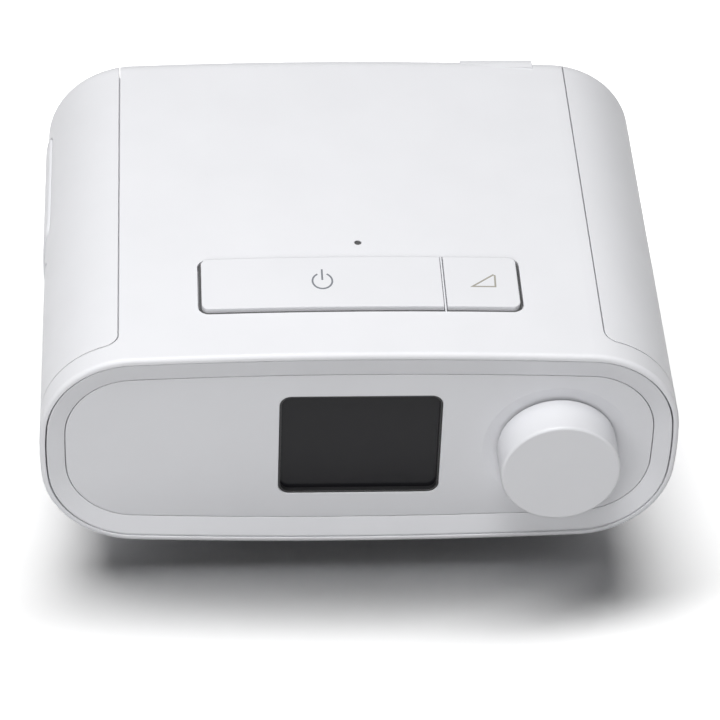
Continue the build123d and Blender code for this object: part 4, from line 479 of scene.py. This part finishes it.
# ------------------------------------------------------------ keys
def fit_key_gap_shade(name, node, body, outward):
    """Dark lip of painted shade in a key's gap: it stands on the flange, close round three sides
    of its cap.
    """
    low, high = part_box(node)
    start_x, side_x = (high.x, low.x) if outward < 0 else (low.x, high.x)
    centre_x = side_x - outward * (FLANGE_WIDTH + CAP_CORNER)
    front_y, rear_y = low.y + FLANGE_WIDTH, high.y - FLANGE_WIDTH
    corner = outward * pi / 2
    mesh = bmesh.new()
    near = front_y - GAP_SHADE_CLEARANCE
    edge = start_strip(mesh, (start_x, near), (start_x, near - GAP_SHADE_WIDTH))
    edge = run_strip(mesh, edge, (centre_x - start_x, 0))
    edge = turn_strip(mesh, edge, (centre_x, front_y + CAP_CORNER), corner, CORNER_STEPS)
    edge = run_strip(mesh, edge, (0, rear_y - front_y - 2 * CAP_CORNER))
    edge = turn_strip(mesh, edge, (centre_x, rear_y - CAP_CORNER), corner, CORNER_STEPS)
    run_strip(mesh, edge, (start_x - centre_x, 0))
    lay_on(mesh, node, GAP_SHADE_HEIGHT)
    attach(make_object(name, mesh, key_gap_shade), body)


def fit_key_web():
    """Thin web of the cover that stands between the two keys."""
    power_low, power_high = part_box("power_button")
    ramp_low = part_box("ramp_button")[0]
    middle = (power_high.x + ramp_low.x) / 2
    front = power_low.y + FLANGE_OVERLAP
    rear = power_high.y - FLANGE_OVERLAP
    mesh = bmesh.new()
    edge = start_strip(mesh, (middle - WEB_WIDTH / 2, front), (middle + WEB_WIDTH / 2, front))
    run_strip(mesh, edge, (0, rear - front))

    def on_cap(place):
        inset = FLANGE_WIDTH + CAP_MARGIN
        y = min(max(place.y, power_low.y + inset), power_high.y - inset)
        return power_high.x - CAP_INSET, y

    lay_on(mesh, "power_button", WEB_HEIGHT, WEB_SINK + WEB_HEIGHT, on_cap)
    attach(make_object("key_web", mesh, shell_white), "housing")


def print_power_symbol():
    """Ring with a gap at the back, and a bar through the gap."""
    mesh = bmesh.new()
    start = pi / 2 + POWER_GAP / 2
    ends = [(radius * cos(start), radius * sin(start))
            for radius in (POWER_RING - POWER_LINE / 2, POWER_RING + POWER_LINE / 2)]
    turn_strip(mesh, start_strip(mesh, *ends), (0, 0), 2 * pi - POWER_GAP, RING_STEPS)
    near, far = POWER_BAR
    edge = start_strip(mesh, (-POWER_LINE / 2, near), (POWER_LINE / 2, near))
    run_strip(mesh, edge, (0, far - near))
    bmesh.ops.scale(mesh, vec=(1, POWER_STRETCH, 1), verts=mesh.verts)
    bmesh.ops.translate(mesh, vec=(*POWER_PLACE, 0), verts=mesh.verts)
    lay_on(mesh, "power_button", INK_THICKNESS)
    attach(make_object("power_symbol", mesh, power_ink), "power_key")


def print_ramp_symbol():
    """Outline of a wedge that rises to the right, with a clipped tip."""
    mesh = bmesh.new()
    wedge = mesh.faces.new([mesh.verts.new((x * MM, y * MM, 0)) for x, y in RAMP_CORNERS])
    mesh.normal_update()
    bmesh.ops.inset_region(mesh, faces=[wedge], thickness=RAMP_LINE, use_boundary=True,
                           use_even_offset=True)
    bmesh.ops.delete(mesh, geom=[wedge], context="FACES")
    long_edges = [e for e in mesh.edges if e.calc_length() > RAMP_SHORT_EDGE]
    bmesh.ops.subdivide_edges(mesh, edges=long_edges, cuts=RAMP_CUTS, use_grid_fill=True)
    bmesh.ops.translate(mesh, vec=(*RAMP_PLACE, 0), verts=mesh.verts)
    lay_on(mesh, "ramp_button", INK_THICKNESS)
    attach(make_object("ramp_symbol", mesh, ramp_ink), "ramp_key")


# dark lips that paint the shade in the gaps round the keys
fit_key_gap_shade("power_gap_shade", "power_button", "power_key", -1)
fit_key_gap_shade("ramp_gap_shade", "ramp_button", "ramp_key", 1)
fit_key_web()
print_power_symbol()
print_ramp_symbol()


# ------------------------------------------------------------ table, light and camera
def lay_floor():
    mesh = bmesh.new()
    bmesh.ops.create_grid(mesh, x_segments=1, y_segments=1, size=FLOOR_REACH)
    bmesh.ops.translate(mesh, vec=(0, 0, -FLOOR_DROP), verts=mesh.verts)
    floor = make_object("floor", mesh, studio_floor())
    return floor


def hang_softbox(name, place, target, size, power):
    data = bpy.data.lights.new(name, "AREA")
    data.shape = "RECTANGLE"
    data.size, data.size_y = size
    data.energy = power
    lamp = put_in_scene(name, data)
    lamp.location = place
    lamp.rotation_euler = (Vector(target) - Vector(place)).to_track_quat("-Z", "Y").to_euler()
    return lamp


def link_lamp(lamp, thing, state):
    """INCLUDE: the lamp lights only this thing. EXCLUDE: it lights everything else."""
    linked = bpy.data.collections.new(lamp.name + "_link")
    linked.objects.link(thing)
    lamp.light_linking.receiver_collection = linked
    linked.collection_objects[0].light_linking.link_state = state


def set_world():
    """Even light all round, in front of a white backdrop for the camera and for mirrors."""
    world = bpy.data.worlds.new("studio")
    scene.world = world
    world.use_nodes = True
    tree = world.node_tree
    glow = tree.nodes["Background"]
    glow.inputs["Color"].default_value = WHITE
    glow.inputs["Strength"].default_value = ROOM_LIGHT
    backdrop = add_node(tree, "ShaderNodeBackground", Color=WHITE, Strength=BACKDROP)
    room = blend(tree, seen_directly(tree), glow.outputs["Background"],
                 backdrop.outputs["Background"])
    tree.links.new(room, tree.nodes["World Output"].inputs["Surface"])


def set_camera():
    """Camera that looks down at the front, with a slight turn and tilt."""
    forward = Vector((sin(YAW) * cos(PITCH), cos(YAW) * cos(PITCH), -sin(PITCH)))
    level = Vector((cos(YAW), -sin(YAW), 0))
    down = forward.cross(level)
    across = cos(ROLL) * level + sin(ROLL) * down
    upright = sin(ROLL) * level - cos(ROLL) * down
    data = bpy.data.cameras.new("camera")
    data.sensor_width = SENSOR
    data.lens = FOCAL_LENGTH * SENSOR / PICTURE_SIZE
    data.clip_start = NEAREST_SEEN
    camera = put_in_scene("camera", data)
    turn = Matrix((across, upright, -forward)).transposed()
    camera.matrix_world = Matrix.Translation(CAMERA_PLACE) @ turn.to_4x4()
    scene.camera = camera


floor = lay_floor()
for lamp_name, measures in OBJECT_LAMPS.items():
    lamp = hang_softbox(lamp_name, target=OBJECT_MIDDLE, size=LAMP_SIZE, **measures)
    link_lamp(lamp, floor, "EXCLUDE")
link_lamp(hang_softbox("table_lamp", **TABLE_LAMP), floor, "INCLUDE")
set_world()
scene.view_settings.view_transform = "Standard"
set_camera()
